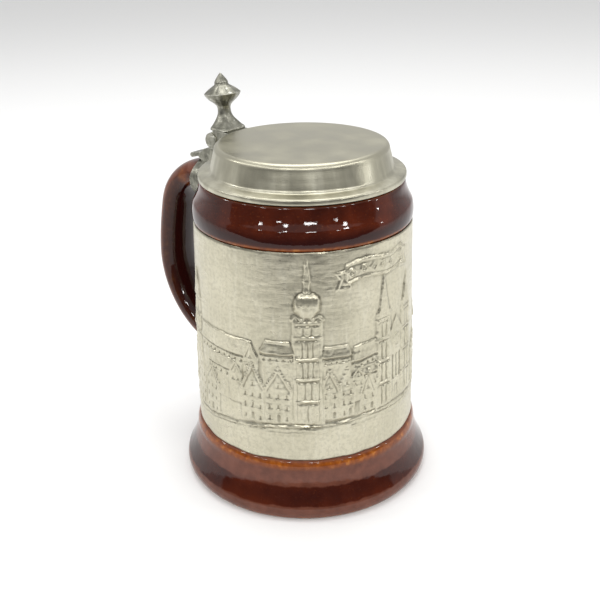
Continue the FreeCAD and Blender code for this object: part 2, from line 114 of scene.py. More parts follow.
def shade_smooth(mesh_data):
    mesh_data.polygons.foreach_set("use_smooth", [True] * len(mesh_data.polygons))


def new_piece(name, mesh_data, body, node, sharp_angle=None):
    """A visible piece that moves with a body and stands in for a node."""
    obj = put(name, mesh_data)
    shade_smooth(mesh_data)
    if sharp_angle is not None:
        mesh_data.set_sharp_from_angle(angle=math.radians(sharp_angle))
    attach(obj, body)
    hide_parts(node)
    return obj


def full_turn(count):
    return np.arange(count) * 2 * math.pi / count


def joined(x, y, z):
    """Points from arrays of their coordinates, each spread over the rows or columns it lacks."""
    return np.stack(np.broadcast_arrays(x, y, z), -1)


def round_points(radii, angles, heights):
    """Points round the mug's axis: radii by row and column or by row alone, an angle for each
    column and a height for each row."""
    return joined(radii * np.cos(angles), radii * np.sin(angles), heights[:, None])


def grid_mesh(name, rows, turned=False):
    """A closed mesh over points (rows, columns, 3) in millimetres, whose rows are loops. A
    turned one's last row meets its first. Another's first and last rows get one face each."""
    count_rows, count_columns = rows.shape[:2]
    index = np.arange(count_rows * count_columns).reshape(count_rows, count_columns)
    lower = index if turned else index[:-1]
    upper = np.roll(index, -1, 0) if turned else index[1:]
    faces = np.stack([lower, np.roll(lower, -1, 1), np.roll(upper, -1, 1), upper], -1)
    faces = faces.reshape(-1, 4).tolist()
    if not turned:
        faces += [index[0][::-1].tolist(), index[-1].tolist()]
    made = bpy.data.meshes.new(name)
    made.from_pydata((rows.reshape(-1, 3) * MM).tolist(), [], faces)
    made.validate()
    shape = bmesh.new()
    shape.from_mesh(made)
    if turned:
        bmesh.ops.remove_doubles(shape, verts=shape.verts, dist=SAME_POINT)
        bmesh.ops.dissolve_degenerate(shape, edges=shape.edges, dist=SAME_POINT / 10)
    bmesh.ops.recalc_face_normals(shape, faces=shape.faces)
    shape.to_mesh(made)
    shape.free()
    return made


def lathe(name, points, segments):
    """A turned solid. points is a run around its section, at most two of them on the axis."""
    across, up = np.array(points).T
    return grid_mesh(name, round_points(across[:, None], full_turn(segments), up), turned=True)


# ---- materials


def rgba(colour):
    """A colour with its alpha. The output of a node passes through."""
    return colour if isinstance(colour, bpy.types.NodeSocket) else (*colour, 1)


class Material:
    """A short way to write a node material around one Principled shader."""

    def __init__(self, name, **sockets):
        self.data = bpy.data.materials.new(name)
        self.data.use_nodes = True
        self.tree = self.data.node_tree
        self.shader = self.tree.nodes["Principled BSDF"]
        self.use(**sockets)

    def feed(self, node, inputs):
        """Give each of these inputs of a node its source or its plain value."""
        for socket, value in inputs.items():
            if isinstance(value, bpy.types.NodeSocket):
                self.tree.links.new(value, node.inputs[socket])
            else:
                node.inputs[socket].default_value = value

    def use(self, **sockets):
        """Feed the shader. A space in a socket's name is written as a low line."""
        self.feed(self.shader, {name.replace("_", " "): value for name, value in sockets.items()})
        return self.data

    def node(self, kind, inputs=None, **settings):
        made = self.tree.nodes.new(kind)
        for key, value in settings.items():
            setattr(made, key, value)
        self.feed(made, inputs or {})
        return made

    def place(self):
        """Where a point is on the piece, in metres."""
        return self.node("ShaderNodeTexCoord").outputs["Object"]

    def height(self):
        return self.node("ShaderNodeSeparateXYZ", {"Vector": self.place()}).outputs["Z"]

    def stretched(self, scale):
        inputs = {"Vector": self.place(), "Scale": scale}
        return self.node("ShaderNodeMapping", inputs).outputs["Vector"]

    def noise(self, scale, detail=3.0, roughness=0.55, vector=None):
        inputs = {"Scale": scale, "Detail": detail, "Roughness": roughness}
        inputs["Vector"] = vector or self.place()
        return self.node("ShaderNodeTexNoise", inputs).outputs["Fac"]

    def ramp(self, source, *stops):
        """A colour for each level of the source. A stop is (level, red, green, blue)."""
        made = self.node("ShaderNodeValToRGB", {"Fac": source})
        elements = made.color_ramp.elements
        while len(elements) < len(stops):
            elements.new(0.5)
        for element, (level, *colour) in zip(elements, stops):
            element.position = level
            element.color = rgba(colour)
        return made.outputs["Color"]

    def mix(self, factor, first, second):
        """The second colour over the first, by a factor."""
        inputs = {0: factor, 6: rgba(first), 7: rgba(second)}
        return self.node("ShaderNodeMix", inputs, data_type="RGBA").outputs[2]

    def combined(self, operation, first, second):
        return self.node("ShaderNodeMath", {0: first, 1: second}, operation=operation).outputs[0]

    def range(self, source, low, high, out_low=0.0, out_high=1.0):
        """A smooth step from out_low to out_high as the source goes from low to high."""
        inputs = {"Value": source, "From Min": low, "From Max": high}
        inputs.update({"To Min": out_low, "To Max": out_high})
        made = self.node("ShaderNodeMapRange", inputs, interpolation_type="SMOOTHSTEP")
        return made.outputs["Result"]

    def attribute(self, name):
        return self.node("ShaderNodeAttribute", attribute_name=name).outputs["Fac"]

    def bump(self, source, strength, distance, below=None):
        inputs = {"Height": source, "Strength": strength, "Distance": distance}
        if below is not None:
            inputs["Normal"] = below
        return self.node("ShaderNodeBump", inputs).outputs["Normal"]


def glaze_material():
    """Iron-brown glaze: amber where an edge has let it run thin and bare clay on the foot ring,
    with painted shade darkening a band on the neck, one low on the flare and the handle's inner
    side, and a streaked painted mauve reflection on the upper flare, the foot's round and the
    handle's outer side. The mesh's attributes thin and bare, the painted shade's attribute and run
    say where."""
    look = Material("brown_glaze", Specular_IOR_Level=0.0, Coat_IOR=1.38, Coat_Roughness=0.03)
    body = look.ramp(
        look.noise(55, 4),
        (0.3, 0.02, 0.003, 0.0014),
        (0.5, 0.045, 0.007, 0.0025),
        (0.72, 0.085, 0.014, 0.004),
    )
    specks = look.range(look.noise(1300, 2), 0.62, 0.72, 0.0, 0.35)
    speckled = look.mix(specks, body, (0.17, 0.045, 0.012))
    # painted reflection: a mauve brown laid on where the mesh's run attribute is high, its edge
    # made ragged by vertical streaks
    painted_reflection = look.ramp(look.noise(240, 3), (0.3, 0.1, 0.034, 0.021), (0.7, 0.15, 0.052, 0.032))
    vertical_streaks = look.noise(150, 3, 0.6, look.stretched((1, 1, 0.16)))
    ragged = look.range(vertical_streaks, 0.3, 0.7, -0.15, 0.15)
    edge = look.combined("ADD", look.attribute("run"), ragged)
    with_painted_reflection = look.mix(look.range(edge, 0.35, 0.65, 0.0, 0.9), speckled, painted_reflection)
    # painted shade: a near-black brown laid on where the mesh's shade attribute is high
    with_painted_shade = look.mix(look.attribute("thick"), with_painted_reflection, (0.016, 0.0026, 0.0022))
    amber = look.ramp(
        look.noise(420, 4),
        (0.3, 0.14, 0.03, 0.003),
        (0.55, 0.24, 0.062, 0.006),
        (0.75, 0.42, 0.15, 0.022),
    )
    uneven = look.range(vertical_streaks, 0.3, 0.7, 0.7, 1.2)
    thin = look.combined("MULTIPLY", look.attribute("thin"), uneven)
    clay = look.ramp(look.noise(700, 4), (0.3, 0.33, 0.25, 0.18), (0.7, 0.5, 0.41, 0.32))
    bare = look.attribute("bare")
    ripple = look.bump(look.noise(140, 2), 0.22, 0.0006)
    pits = look.bump(look.noise(1700, 2), 0.05, 0.0002, ripple)
    return look.use(
        Base_Color=look.mix(bare, look.mix(thin, with_painted_shade, amber), clay),
        Roughness=look.range(bare, 0, 1, 0.3, 0.85),
        Coat_Weight=look.range(bare, 0, 1, 1.0, 0.0),
        Normal=pits,
        Coat_Normal=pits,
    )


def relief_pewter_material():
    """Cast pewter with a warm patina: brushed along its sky, dark in its recesses and rubbed
    bright on its raised lines, with a painted shadow along the sheet's top and bottom edges.
    The mesh's attributes for the tarnish with that edge shadow and for the polish say where."""
    look = Material("relief_pewter", Metallic=1.0)
    brushed = look.noise(60, 4, 0.6, look.stretched((2, 2, 13)))
    streaks = look.noise(75, 4, 0.6, look.stretched((9, 9, 0.8)))
    mottle = look.noise(750, 4, 0.65)
    base = look.ramp(
        look.noise(45, 3),
        (0.3, 0.52, 0.49, 0.375),
        (0.55, 0.59, 0.555, 0.43),
        (0.8, 0.67, 0.635, 0.505),
    )
    lighter = look.mix(look.range(streaks, 0.45, 0.8, 0.0, 0.4), base, (0.72, 0.69, 0.58))
    darker = look.mix(look.range(brushed, 0.5, 0.25, 0.0, 0.2), lighter, (0.38, 0.355, 0.275))
    mottled = look.mix(look.range(mottle, 0.56, 0.36, 0.0, 0.32), darker, (0.33, 0.31, 0.235))
    tarnish = look.range(look.attribute("tarnish"), 0.1, 0.9, 0, 0.68)
    aged_and_edge_shaded = look.mix(tarnish, mottled, (0.18, 0.165, 0.12))
    polish = look.range(look.attribute("polish"), 0.14, 0.85, 0, 0.85)
    rubbed = look.mix(polish, aged_and_edge_shaded, (0.88, 0.86, 0.77))
    rough = look.range(brushed, 0.3, 0.7, 0.27, 0.42)
    grain = look.bump(mottle, 0.35, 0.00014)
    ridged = look.bump(brushed, 0.2, 0.0004, grain)
    return look.use(Base_Color=rubbed, Roughness=rough, Normal=ridged)


# the lid's wall carries painted light and dark streaks of reflection below the first of these
# heights, in metres, and its top is calm above the second
LID_PAINTED_STREAKS, LID_CALM = 0.1415, 0.1435


def turned_pewter_material():
    """Spun pewter, with fine turning rings round the lid's axis, a calm top with a few soft
    blotches and a wall with painted light and dark streaks of reflection."""
    look = Material("turned_pewter", Metallic=1.0)
    flat = look.node("ShaderNodeVectorMath", {0: look.place(), 1: (1, 1, 0)}, operation="MULTIPLY")
    out = look.node("ShaderNodeVectorMath", {0: flat.outputs[0]}, operation="LENGTH")
    inputs = {"W": out.outputs["Value"], "Scale": 2500, "Detail": 2}
    rings = look.node("ShaderNodeTexNoise", inputs, noise_dimensions="1D").outputs["Fac"]
    blotches = look.noise(70, 4)
    calm = look.ramp(
        blotches, (0.3, 0.42, 0.4, 0.31), (0.55, 0.45, 0.43, 0.335), (0.8, 0.49, 0.47, 0.37)
    )
    # painted reflection: light and dark vertical streaks for the lid's wall
    painted_streaks = look.ramp(
        look.noise(70, 4, 0.6, look.stretched((1.6, 1.6, 0.2))),
        (0.33, 0.36, 0.345, 0.27),
        (0.5, 0.45, 0.43, 0.335),
        (0.66, 0.58, 0.56, 0.45),
    )
    wall = look.range(look.height(), LID_PAINTED_STREAKS, LID_CALM, 1.0, 0.0)
    base = look.mix(wall, calm, painted_streaks)
    rough = look.range(blotches, 0.3, 0.7, 0.29, 0.4)
    turned = look.bump(rings, 0.16, 0.00008)
    dented = look.bump(look.noise(220, 3), 0.08, 0.0004, turned)
    return look.use(Base_Color=base, Roughness=rough, Normal=dented)


def cast_pewter_material():
    """Cast pewter with a mottled grey skin, worn bright on its edges and dark in its corners."""
    look = Material("cast_pewter", Metallic=1.0)
    clouds = look.noise(330, 5, 0.65)
    base = look.ramp(
        clouds, (0.3, 0.14, 0.138, 0.112), (0.5, 0.26, 0.255, 0.21), (0.75, 0.43, 0.42, 0.355)
    )
    scratches = look.noise(420, 3, 0.6, look.stretched((1, 1, 0.25)))
    lined = look.mix(look.range(scratches, 0.52, 0.34, 0.0, 0.45), base, (0.11, 0.108, 0.088))
    worn = look.node("ShaderNodeNewGeometry").outputs["Pointiness"]
    edged = look.mix(look.range(worn, 0.5, 0.56, 0.0, 0.65), lined, (0.66, 0.65, 0.57))
    # darker where the surface curves inwards, in its hollows and creases
    darker_in_hollows = look.mix(look.range(worn, 0.495, 0.43, 0.0, 0.85), edged, (0.07, 0.068, 0.052))
    rough = look.range(clouds, 0.3, 0.7, 0.46, 0.3)
    skin = look.bump(look.noise(900, 3), 0.4, 0.0002)
    dented = look.bump(clouds, 0.3, 0.0004, skin)
    return look.use(Base_Color=darker_in_hollows, Roughness=rough, Normal=dented)


def pin_steel_material():
    look = Material("pin_steel", Metallic=1.0)
    streaks = look.noise(400, 2, 0.5, look.stretched((1, 0.05, 1)))
    base = look.ramp(streaks, (0.3, 0.4, 0.4, 0.4), (0.7, 0.55, 0.55, 0.55))
    return look.use(Base_Color=base, Roughness=look.range(streaks, 0, 1, 0.25, 0.4))


# ---- the mug


def mark(obj, **fields):
    """Store one number per vertex under each name, for the materials to read."""
    for name, values in fields.items():
        attribute = obj.data.attributes.new(name, "FLOAT", "POINT")
        attribute.data.foreach_set("value", np.asarray(values, np.float32))


def places(obj):
    """A mesh's vertices as an array, in millimetres."""
    found = np.zeros(len(obj.data.vertices) * 3, np.float32)
    obj.data.vertices.foreach_get("co", found)
    return found.reshape(-1, 3) / MM


def hump(values, centre, half_width):
    """1 at centre, falling smoothly to 0 at half_width from it."""
    near = np.clip(1 - np.abs(values - centre) / half_width, 0, 1)
    return near * near * (3 - 2 * near)


# where nobody looks closely, below the lip, the stoneware keeps one point in so many
LIP_BOTTOM = 129.0
HIDDEN_THINNING = 6


def hidden_inside(point):
    """On the bore's plain wall and floor or under the foot, where few points will do."""
    return point[0] < BORE_RADIUS + 0.1 and point[1] < LIP_BOTTOM


def make_stoneware(glaze):
    section = [
        (51.6, 0, 5.2, 1),
        (52.9, 7.2, 42.0, -1),
        (48.3, 20.0, 8.0, 1),
        (47.2, 24.9),
        (46.0, 25.2),
        (43.95, 114.1),
        (44.5, 114.5, 0.9, 1),
        (45.05, 115.4, 14.0, 1),
        (44.6, 122.0, 24.0, -1),
        (42.3, 127.0),
        (41.7, 129.6, 1.2, 1),
        (40.5, RIM_HEIGHT),
        (BORE_RADIUS, 129.6),
        (BORE_RADIUS, 16.0, 7.0, -1),
        (33.0, 9.0),
        (0, 9.0),
        (0, 2.4),
        (43.1, 2.4),
        (45.5, 0),
    ]
    points = softened(outline(section), 3)
    points = [p for k, p in enumerate(points) if not hidden_inside(p) or k % HIDDEN_THINNING == 0]
    made = lathe("stoneware", points, MUG_SEGMENTS)
    obj = new_piece("stoneware", made, "mug", "stoneware_body")
    at = places(obj)
    across = np.hypot(at[:, 0], at[:, 1])
    height = at[:, 2]
    outside = across > BORE_RADIUS + 0.6
    # the glaze is thin on the edges of the flare, the neck, the rim and the foot, and leaves the
    # foot bare; a painted mauve reflection covers the upper flare and the foot's round, and
    # painted shade darkens a band on the neck and one in the flare's hollow
    thin = np.maximum(hump(height, 23.0, 2.6), 0.75 * hump(height, 115.1, 1.0)) * outside
    thin = np.maximum(thin, 0.3 * hump(height, RIM_HEIGHT, 1.0))
    thin = np.maximum(thin, 0.5 * hump(height, 1.2, 1.6) * outside)
    painted_reflection_zones = np.clip((height - 12.6) / 3.0, 0, 1) + np.clip(3.6 - height / 2.2, 0, 1)
    painted_shade_bands = 0.9 * hump(height, 117.8, 4.6) + 0.5 * hump(height, 10.5, 6.5)
    bare = np.clip(1 - height / 0.5, 0, 1) * (height < 0.5)
    mark(obj, thin=thin, run=painted_reflection_zones * (height < 26.0) * outside, thick=painted_shade_bands * outside, bare=bare)
    obj.data.materials.append(glaze)


# the handle's middle line: it starts level inside the wall, runs out to HANDLE_RUN and bends
# round three arcs, each (radius, degrees). Points lie HANDLE_STEP apart along it.
HANDLE_START = 43.0
HANDLE_RUN = (-54.6, 122.5)
HANDLE_ARCS = ((22.5, 75.0), (143.0, 9.7), (36.3, 95.3))
HANDLE_STEP = 1.0
HANDLE_SEGMENTS = 56


def handle_line():
    """Points down the middle of the handle, as (x, z, turned by, distance along)."""
    x, z = HANDLE_RUN
    run = [(start, z, 0.0) for start in np.arange(-HANDLE_START, x, -HANDLE_STEP)]
    turned = 0.0
    for radius, degrees in HANDLE_ARCS:
        sweep = math.radians(degrees)
        centre_x = x + radius * math.sin(turned)
        centre_z = z - radius * math.cos(turned)
        count = int(radius * sweep / HANDLE_STEP) + 1
        for k in range(count + 1):
            angle = turned + sweep * k / count
            x = centre_x - radius * math.sin(angle)
            z = centre_z + radius * math.cos(angle)
            if k < count:
                run.append((x, z, angle))
        turned += sweep
    run.append((x, z, turned))
    x, z, turned = np.array(run).T
    along = np.concatenate([[0], np.cumsum(np.hypot(np.diff(x), np.diff(z)))])
    return x, z, turned, along


def make_handle(glaze):
    """An oval strip pulled round its line, spreading where its lower end is luted on."""
    x, z, turned, along = handle_line()
    share = along / along[-1]
    shares = [0, 0.08, 0.28, 0.48, 1.0]
    spread = np.exp(-np.clip(along[-1] - 3.0 - along, 0, None) / 3.2)
    half_width = np.interp(share, shares, [8.6, 8.6, 9.4, 9.4, 8.4]) + 2.6 * spread
    half_height = np.interp(share, shares, [5.6, 5.6, 6.4, 6.4, 6.0]) + 3.0 * spread
    angles = full_turn(HANDLE_SEGMENTS)
    side, out = (np.sign(wave) * np.abs(wave) ** 0.92 for wave in (np.cos(angles), np.sin(angles)))
    out = np.where(out < 0, 0.93 * out, out)
    offset = half_height[:, None] * out
    rows = joined(
        x[:, None] - np.sin(turned)[:, None] * offset,
        half_width[:, None] * side,
        z[:, None] + np.cos(turned)[:, None] * offset,
    )
    made = grid_mesh("handle_pulled", rows)
    obj = new_piece("handle_pulled", made, "mug", "handle", sharp_angle=60)
    at = places(obj)
    ridge = np.clip((np.abs(at[:, 1]) - 6.5) / 3.0, 0, 1)
    x, z, turned, along = (np.repeat(run, HANDLE_SEGMENTS) for run in (x, z, turned, along))
    inner = (x - at[:, 0]) * np.sin(turned) + (at[:, 2] - z) * np.cos(turned)
    shoulder = hump(along, 20.5, 5.0)
    # painted shade on the handle's inner side, towards the mug, and a painted mauve reflection on
    # its outer side; thin glaze on its edges and on a patch below the strap
    mark(
        obj,
        thin=0.12 * ridge + 0.3 * shoulder,
        run=0.85 * np.clip(0.3 + inner / 3.0, 0, 1) * (1 - shoulder),
        thick=0.95 * np.clip(0.7 - inner / 2.8, 0, 1) * (1 - 0.6 * shoulder),
        bare=np.zeros(len(at)),
    )
    obj.data.materials.append(glaze)


# ---- the relief

# The band is drawn unrolled: s is the distance along it in millimetres from the tall tower,
# to the right as seen from outside, and z is the height on the mug.
TOWER_ANGLE = -46.7
UNROLLED_RADIUS = 46.0
# the size of the drawing's cells, how far its lines waver, and where its random draws start
CELL = 0.15
HAND_WAVER = 0.1
RELIEF_SEED = 11
# how many points the sheet has up and along
BAND_ROWS = 260
BAND_COLUMNS = 940
# how far a house stands out, and how many steps a stepped gable has to either side
HOUSE_HEIGHT = 0.36
GABLE_STEPS = 4


def along_band(degrees):
    """Where a direction round the mug, in degrees from +X, lies on the unrolled band."""
    return math.radians(degrees - TOWER_ANGLE) * UNROLLED_RADIUS


class Relief:
    """Heights over the unrolled band, in millimetres, in three layers: broad forms, raised
    lines on them, and cuts into them. What is drawn later stands in front."""

    def __init__(self, s_low, s_high, z_low, z_high):
        self.s = np.arange(s_low, s_high + CELL, CELL)
        self.z = np.arange(z_low, z_high + CELL, CELL)
        self.form = np.zeros((len(self.z), len(self.s)))
        self.ridge = np.zeros_like(self.form)
        self.cut = np.zeros_like(self.form)

    def window(self, points, margin):
        """The part of the grid around some points: its slices and its coordinates."""
        points = np.asarray(points, float)
        low, high = points.min(0) - margin, points.max(0) + margin
        columns = slice(*np.searchsorted(self.s, (low[0], high[0])))
        rows = slice(*np.searchsorted(self.z, (low[1], high[1])))
        across, up = np.meshgrid(self.s[columns], self.z[rows])
        return (rows, columns), across, up

    def inside(self, points):
        """The grid's part around an outline, which of its cells lie within, and their z."""
        where, across, up = self.window(points, 0.3)
        within = np.zeros(across.shape, bool)
        for (s0, z0), (s1, z1) in zip(points, points[1:] + points[:1]):
            if z0 != z1:
                crosses = (up < z0) != (up < z1)
                within ^= crosses & (across < s0 + (up - z0) * (s1 - s0) / (z1 - z0))
        return where, within, up

    def plate(self, points, height, top=None):
        """A plate that covers what lies behind it. It slopes if its top has another height."""
        where, within, up = self.inside(points)
        ends = [z for _, z in points]
        level = np.interp(up, (min(ends), max(ends)), (height, height if top is None else top))
        self.form[where][within] = level[within]
        self.ridge[where][within] = 0
        self.cut[where][within] = 0

    def sink(self, points, depth):
        where, within, _ = self.inside(points)
        self.cut[where][within] = depth

    def line(self, points, width=0.36, height=0.22, closed=False, layer="ridge"):
        """A rounded ridge along a run of points, or a groove in the cut layer."""
        points = list(points)
        pairs = zip(points, points[1:] + points[:1] if closed else points[1:])
        for start, end in pairs:
            where, across, up = self.window([start, end], 2 * width)
            run = np.subtract(end, start)
            length = max(float(run @ run), 1e-9)
            share = ((across - start[0]) * run[0] + (up - start[1]) * run[1]) / length
            share = np.clip(share, 0, 1)
            away = np.hypot(across - start[0] - share * run[0], up - start[1] - share * run[1])
            target = getattr(self, layer)[where]
            np.maximum(target, height * np.exp(-((away / width) ** 2)), out=target)

    def groove(self, points, width=0.3, depth=0.2):
        self.line(points, width, depth, layer="cut")

    def shape(self, points, height, rim=0.2, width=0.34, top=None):
        """A raised plate with a raised rim."""
        self.plate(points, height, top)
        self.line(points, width, rim, closed=True)

    def dot(self, s, z, radius, height, layer="ridge"):
        where, across, up = self.window([(s, z)], 2.2 * radius)
        away = np.hypot(across - s, up - z) / radius
        target = getattr(self, layer)[where]
        np.maximum(target, height * np.clip(1 - away**2, 0, 1) ** 0.7, out=target)

    def beads(self, start, end, pitch, radius, height):
        """A row of dots from start to end."""
        start, end = np.array(start), np.array(end)
        count = max(1, round(float(np.hypot(*(end - start))) / pitch))
        for k in range(count + 1):
            s, z = start + (end - start) * k / count
            self.dot(s, z, radius, height)

    def opening(self, s, z, half_width, height, arched=False, depth=0.2):
        """A window or door: a sunk panel in a raised frame, on a sill."""
        points = box(s, half_width, z, z + height)
        if arched:
            points[3:3] = arc_run(s, z + height, half_width, 0, 180, 5)
        self.sink(points, depth)
        self.line(points, 0.22, 0.2, closed=True)
        self.line(level(s, half_width + 0.3, z), 0.26, 0.28)

    def heights(self, dice):
        """All layers together as a hand-modelled surface, and how sunk each point is: lines
        waver and fade, and edges are worn soft."""
        cloudy = soft_noise(dice, self.form.shape, 2.6, 2.6)
        form = blurred(self.form, 0.24)
        cut = blurred(self.cut, 0.1)
        total = form + self.ridge * np.clip(1.0 + 0.3 * cloudy, 0.4, 1.6) - cut
        total = blurred(self.wavered(total, dice), 0.1)
        sunk = blurred(total, 0.9) - total
        return total, sunk

    def wavered(self, field, dice):
        """The field with its places shifted a little to and fro, as drawn by hand."""
        reach = HAND_WAVER / CELL
        shifts = [soft_noise(dice, field.shape, 1.7, 1.7) * reach for _ in range(2)]
        rows, columns = np.indices(field.shape)
        return sampled(field, rows + shifts[0], columns + shifts[1])


def sampled(field, rows, columns):
    """A field read at in-between rows and columns."""
    rows = np.clip(rows, 0, field.shape[0] - 1.001)
    columns = np.clip(columns, 0, field.shape[1] - 1.001)
    row, column = rows.astype(int), columns.astype(int)
    part_row, part_column = rows - row, columns - column
    below = field[row, column] * (1 - part_column) + field[row, column + 1] * part_column
    above = field[row + 1, column] * (1 - part_column) + field[row + 1, column + 1] * part_column
    return below * (1 - part_row) + above * part_row


def blurred(field, up, along=None):
    """The field averaged over distances in millimetres, up and along the band."""
    for axis, distance in enumerate((up, up if along is None else along)):
        sigma = distance / CELL
        reach = int(3 * sigma) + 1
        weights = np.exp(-0.5 * (np.arange(-reach, reach + 1) / sigma) ** 2)
        weights /= weights.sum()
        edges = [(reach, reach) if a == axis else (0, 0) for a in (0, 1)]
        padded = np.pad(field, edges, mode="edge")
        span = field.shape[axis]
        field = sum(
            weight * np.take(padded, range(k, k + span), axis) for k, weight in enumerate(weights)
        )
    return field


def soft_noise(dice, shape, up, along):
    """Noise with unit spread whose patches are about so many millimetres up and along."""
    noise = blurred(dice.normal(size=shape), up / 2, along / 2)
    return noise / noise.std()


def arc_run(s, z, radius, first, last, count):
    angles = np.radians(np.linspace(first, last, count))
    return [(s + radius * math.cos(a), z + radius * math.sin(a)) for a in angles]


def level(s, half, z):
    """The ends of a level line that reaches half to either side of s."""
    return [(s - half, z), (s + half, z)]


def upright(s, low, high):
    return [(s, low), (s, high)]


def box(s, half, low, high):
    """The corners of an upright rectangle that reaches half to either side of s."""
    return level(s, half, low) + level(s, half, high)[::-1]


def gable_end(s, half, foot, eave, peak):
    """The corners of a wall with a pointed top."""
    return level(s, half, foot) + [(s + half, eave), (s, peak), (s - half, eave)]


def ground_height(s):
    """The line that the town stands on: it dips to the left of the tall tower."""
    dip = 6.0 * math.exp(-(((s + 56) / 24) ** 2))
    return 40.6 - dip + 0.8 * math.sin(s / 17.0)


def draw_tower(relief, s, foot, stages, height):
    """Stacked stages under cornices, with standing columns between their windows. A stage is
    (top, half width, columns)."""
    low = foot
    for high, half, columns in stages:
        relief.plate(box(s, half, low, high), height)
        relief.groove(level(s, half, high - 1.2), 0.26, 0.26)
        relief.groove(level(s, half - 0.5, low + 0.9), 0.2, 0.12)
        gap, top = 2 * half / columns, high - 1.9
        for k in range(columns):
            centre = s + (k - (columns - 1) / 2) * gap
            if k:
                relief.groove(upright(centre - gap / 2, low + 1.2, top), 0.22, 0.26)
            relief.line(upright(centre, low + 1.0, top), 0.17 * gap, 0.3)
            relief.dot(centre, low + 1.3, 0.26 * gap, 0.36)
            relief.dot(centre, top, 0.24 * gap, 0.3)
        for edge in (-half, half):
            relief.line(upright(s + edge, low, high), 0.34, 0.22)
        low = high
    for high, half, _ in stages:
        relief.line(level(s, half + 0.8, high), 0.46, 0.5)
        relief.beads(*level(s, half + 0.4, high - 0.1), 1.9, 0.5, 0.5)


def draw_onion(relief, s, low, high, half):
    """A round onion dome on a scalloped crest: its ribs meet at its top, and a bright rim
    runs under it."""
    share = np.linspace(0, 1, 25)
    round_part = np.sqrt(np.clip(1 - ((share - 0.45) / 0.43) ** 2, 0, 1))
    neck = 0.26 * np.clip((share - 0.75) / 0.25, 0, 1)
    width = half * np.maximum(round_part, np.maximum(neck, 0.45 * (share < 0.1)))
    up = low + (high - low) * share
    left, right = ([(s + side * w, z) for w, z in zip(width, up)] for side in (-1, 1))
    relief.plate(left + right[::-1], 0.55)
    middle = low + 0.45 * (high - low)
    where, across, rise = relief.window([(s, middle)], half + 1.0)
    ball = 1 - ((across - s) / half) ** 2 - ((rise - middle) / (0.42 * (high - low))) ** 2
    relief.form[where] += 1.1 * np.sqrt(np.clip(ball, 0, 1))
    for rib in (-0.5, 0.5):
        relief.groove([(s + rib * w, z) for w, z in zip(width[4:], up[4:])], 0.24, 0.16)
    relief.line(arc_run(s, middle, half + 0.1, 205, 335, 14), 0.42, 0.45)
    relief.line(arc_run(s, middle, half + 0.1, 20, 160, 14), 0.28, 0.2)
    for scallop in (s - 4.1, s, s + 4.1):
        relief.line(arc_run(scallop, low - 1.9, 2.0, 15, 165, 9), 0.42, 0.5)
        relief.dot(scallop, low - 1.5, 0.6, 0.35)
    relief.groove(level(s, 5.4, low - 2.5), 0.3, 0.25)


def draw_spire(relief, s, low, high, half, ribs, height=0.4):
    """A steep pointed roof with straight ribs and a knob."""
    left, right = level(s, half, low)
    tip = (s, high)
    relief.plate([left, right, tip], height)
    relief.line([left, tip, right], 0.36, 0.34)
    for k in range(ribs):
        foot = s + half * ((k + 1) * 2 / (ribs + 1) - 1)
        relief.line([(foot, low), tip], 0.22, 0.18)
    relief.dot(s, high - 0.2, 0.6, 0.4)


def draw_gable(relief, s, half, foot, eave, peak, kind):
    """The front wall of a house, plain, stepped, beaded or with a rosette."""
    if kind == "stepped":
        run, rise = half / GABLE_STEPS, (peak - eave) / GABLE_STEPS
        left, right = [], []
        for k in range(GABLE_STEPS):
            for z in (eave + k * rise, eave + (k + 1) * rise):
                left.append((s - half + k * run, z))
                right.append((s + half - k * run, z))
        relief.shape(level(s, half, foot) + right + left[::-1], HOUSE_HEIGHT, 0.26, 0.3)
        for s_step, z in left[1::2] + right[1::2]:
            relief.dot(s_step, z, 0.5, 0.42)
        return
    relief.shape(gable_end(s, half, foot, eave, peak), HOUSE_HEIGHT, 0.2)
    for side in (-1, 1):
        low, top = (s + side * (half + 0.5), eave - 0.5), (s, peak + 0.4)
        relief.groove([(low[0] - side * 1.3, low[1]), (s, peak - 1.5)], 0.3, 0.22)
        relief.line([low, top], 0.34, 0.3)
        if kind == "beaded":
            relief.beads((low[0], low[1] + 0.3), (s, top[1] + 0.3), 1.35, 0.56, 0.52)


def draw_house(relief, s, half, eave, peak, kind, dice):
    """A house with its gable to the street, three or four storeys of windows and a door."""
    foot = ground_height(s) + 2.6
    draw_gable(relief, s, half, foot, eave, peak, kind)
    for edge in (-half, half):
        relief.line(upright(s + edge, foot, eave), 0.42, 0.26)
    columns = 2 if half < 4.2 else 3
    storeys = max(2, int((eave - foot) / 3.9))
    storey = (eave - foot) / storeys
    for row in range(storeys):
        low = foot + row * storey + 0.8
        if row % 2:
            relief.line(level(s, half, low + storey - 0.8), 0.2, 0.14)
        for column in range(columns):
            centre = s + (column - (columns - 1) / 2) * 2 * half / columns
            if row == 0 and column == columns // 2:
                relief.opening(centre, foot + 0.1, 0.95, storey * 0.6, arched=True, depth=0.28)
            else:
                relief.opening(centre, low, 0.6, storey * 0.42, arched=bool(dice.integers(2)))
    if kind == "rosette":
        relief.line(arc_run(s, eave + 1.7, 1.25, 0, 360, 14), 0.28, 0.3)
        relief.dot(s, eave + 1.7, 0.55, 0.35)
    else:
        relief.opening(s, eave + 0.7, 0.55, 1.6, arched=True)
    relief.dot(s, peak + 1.0, 0.6, 0.5)


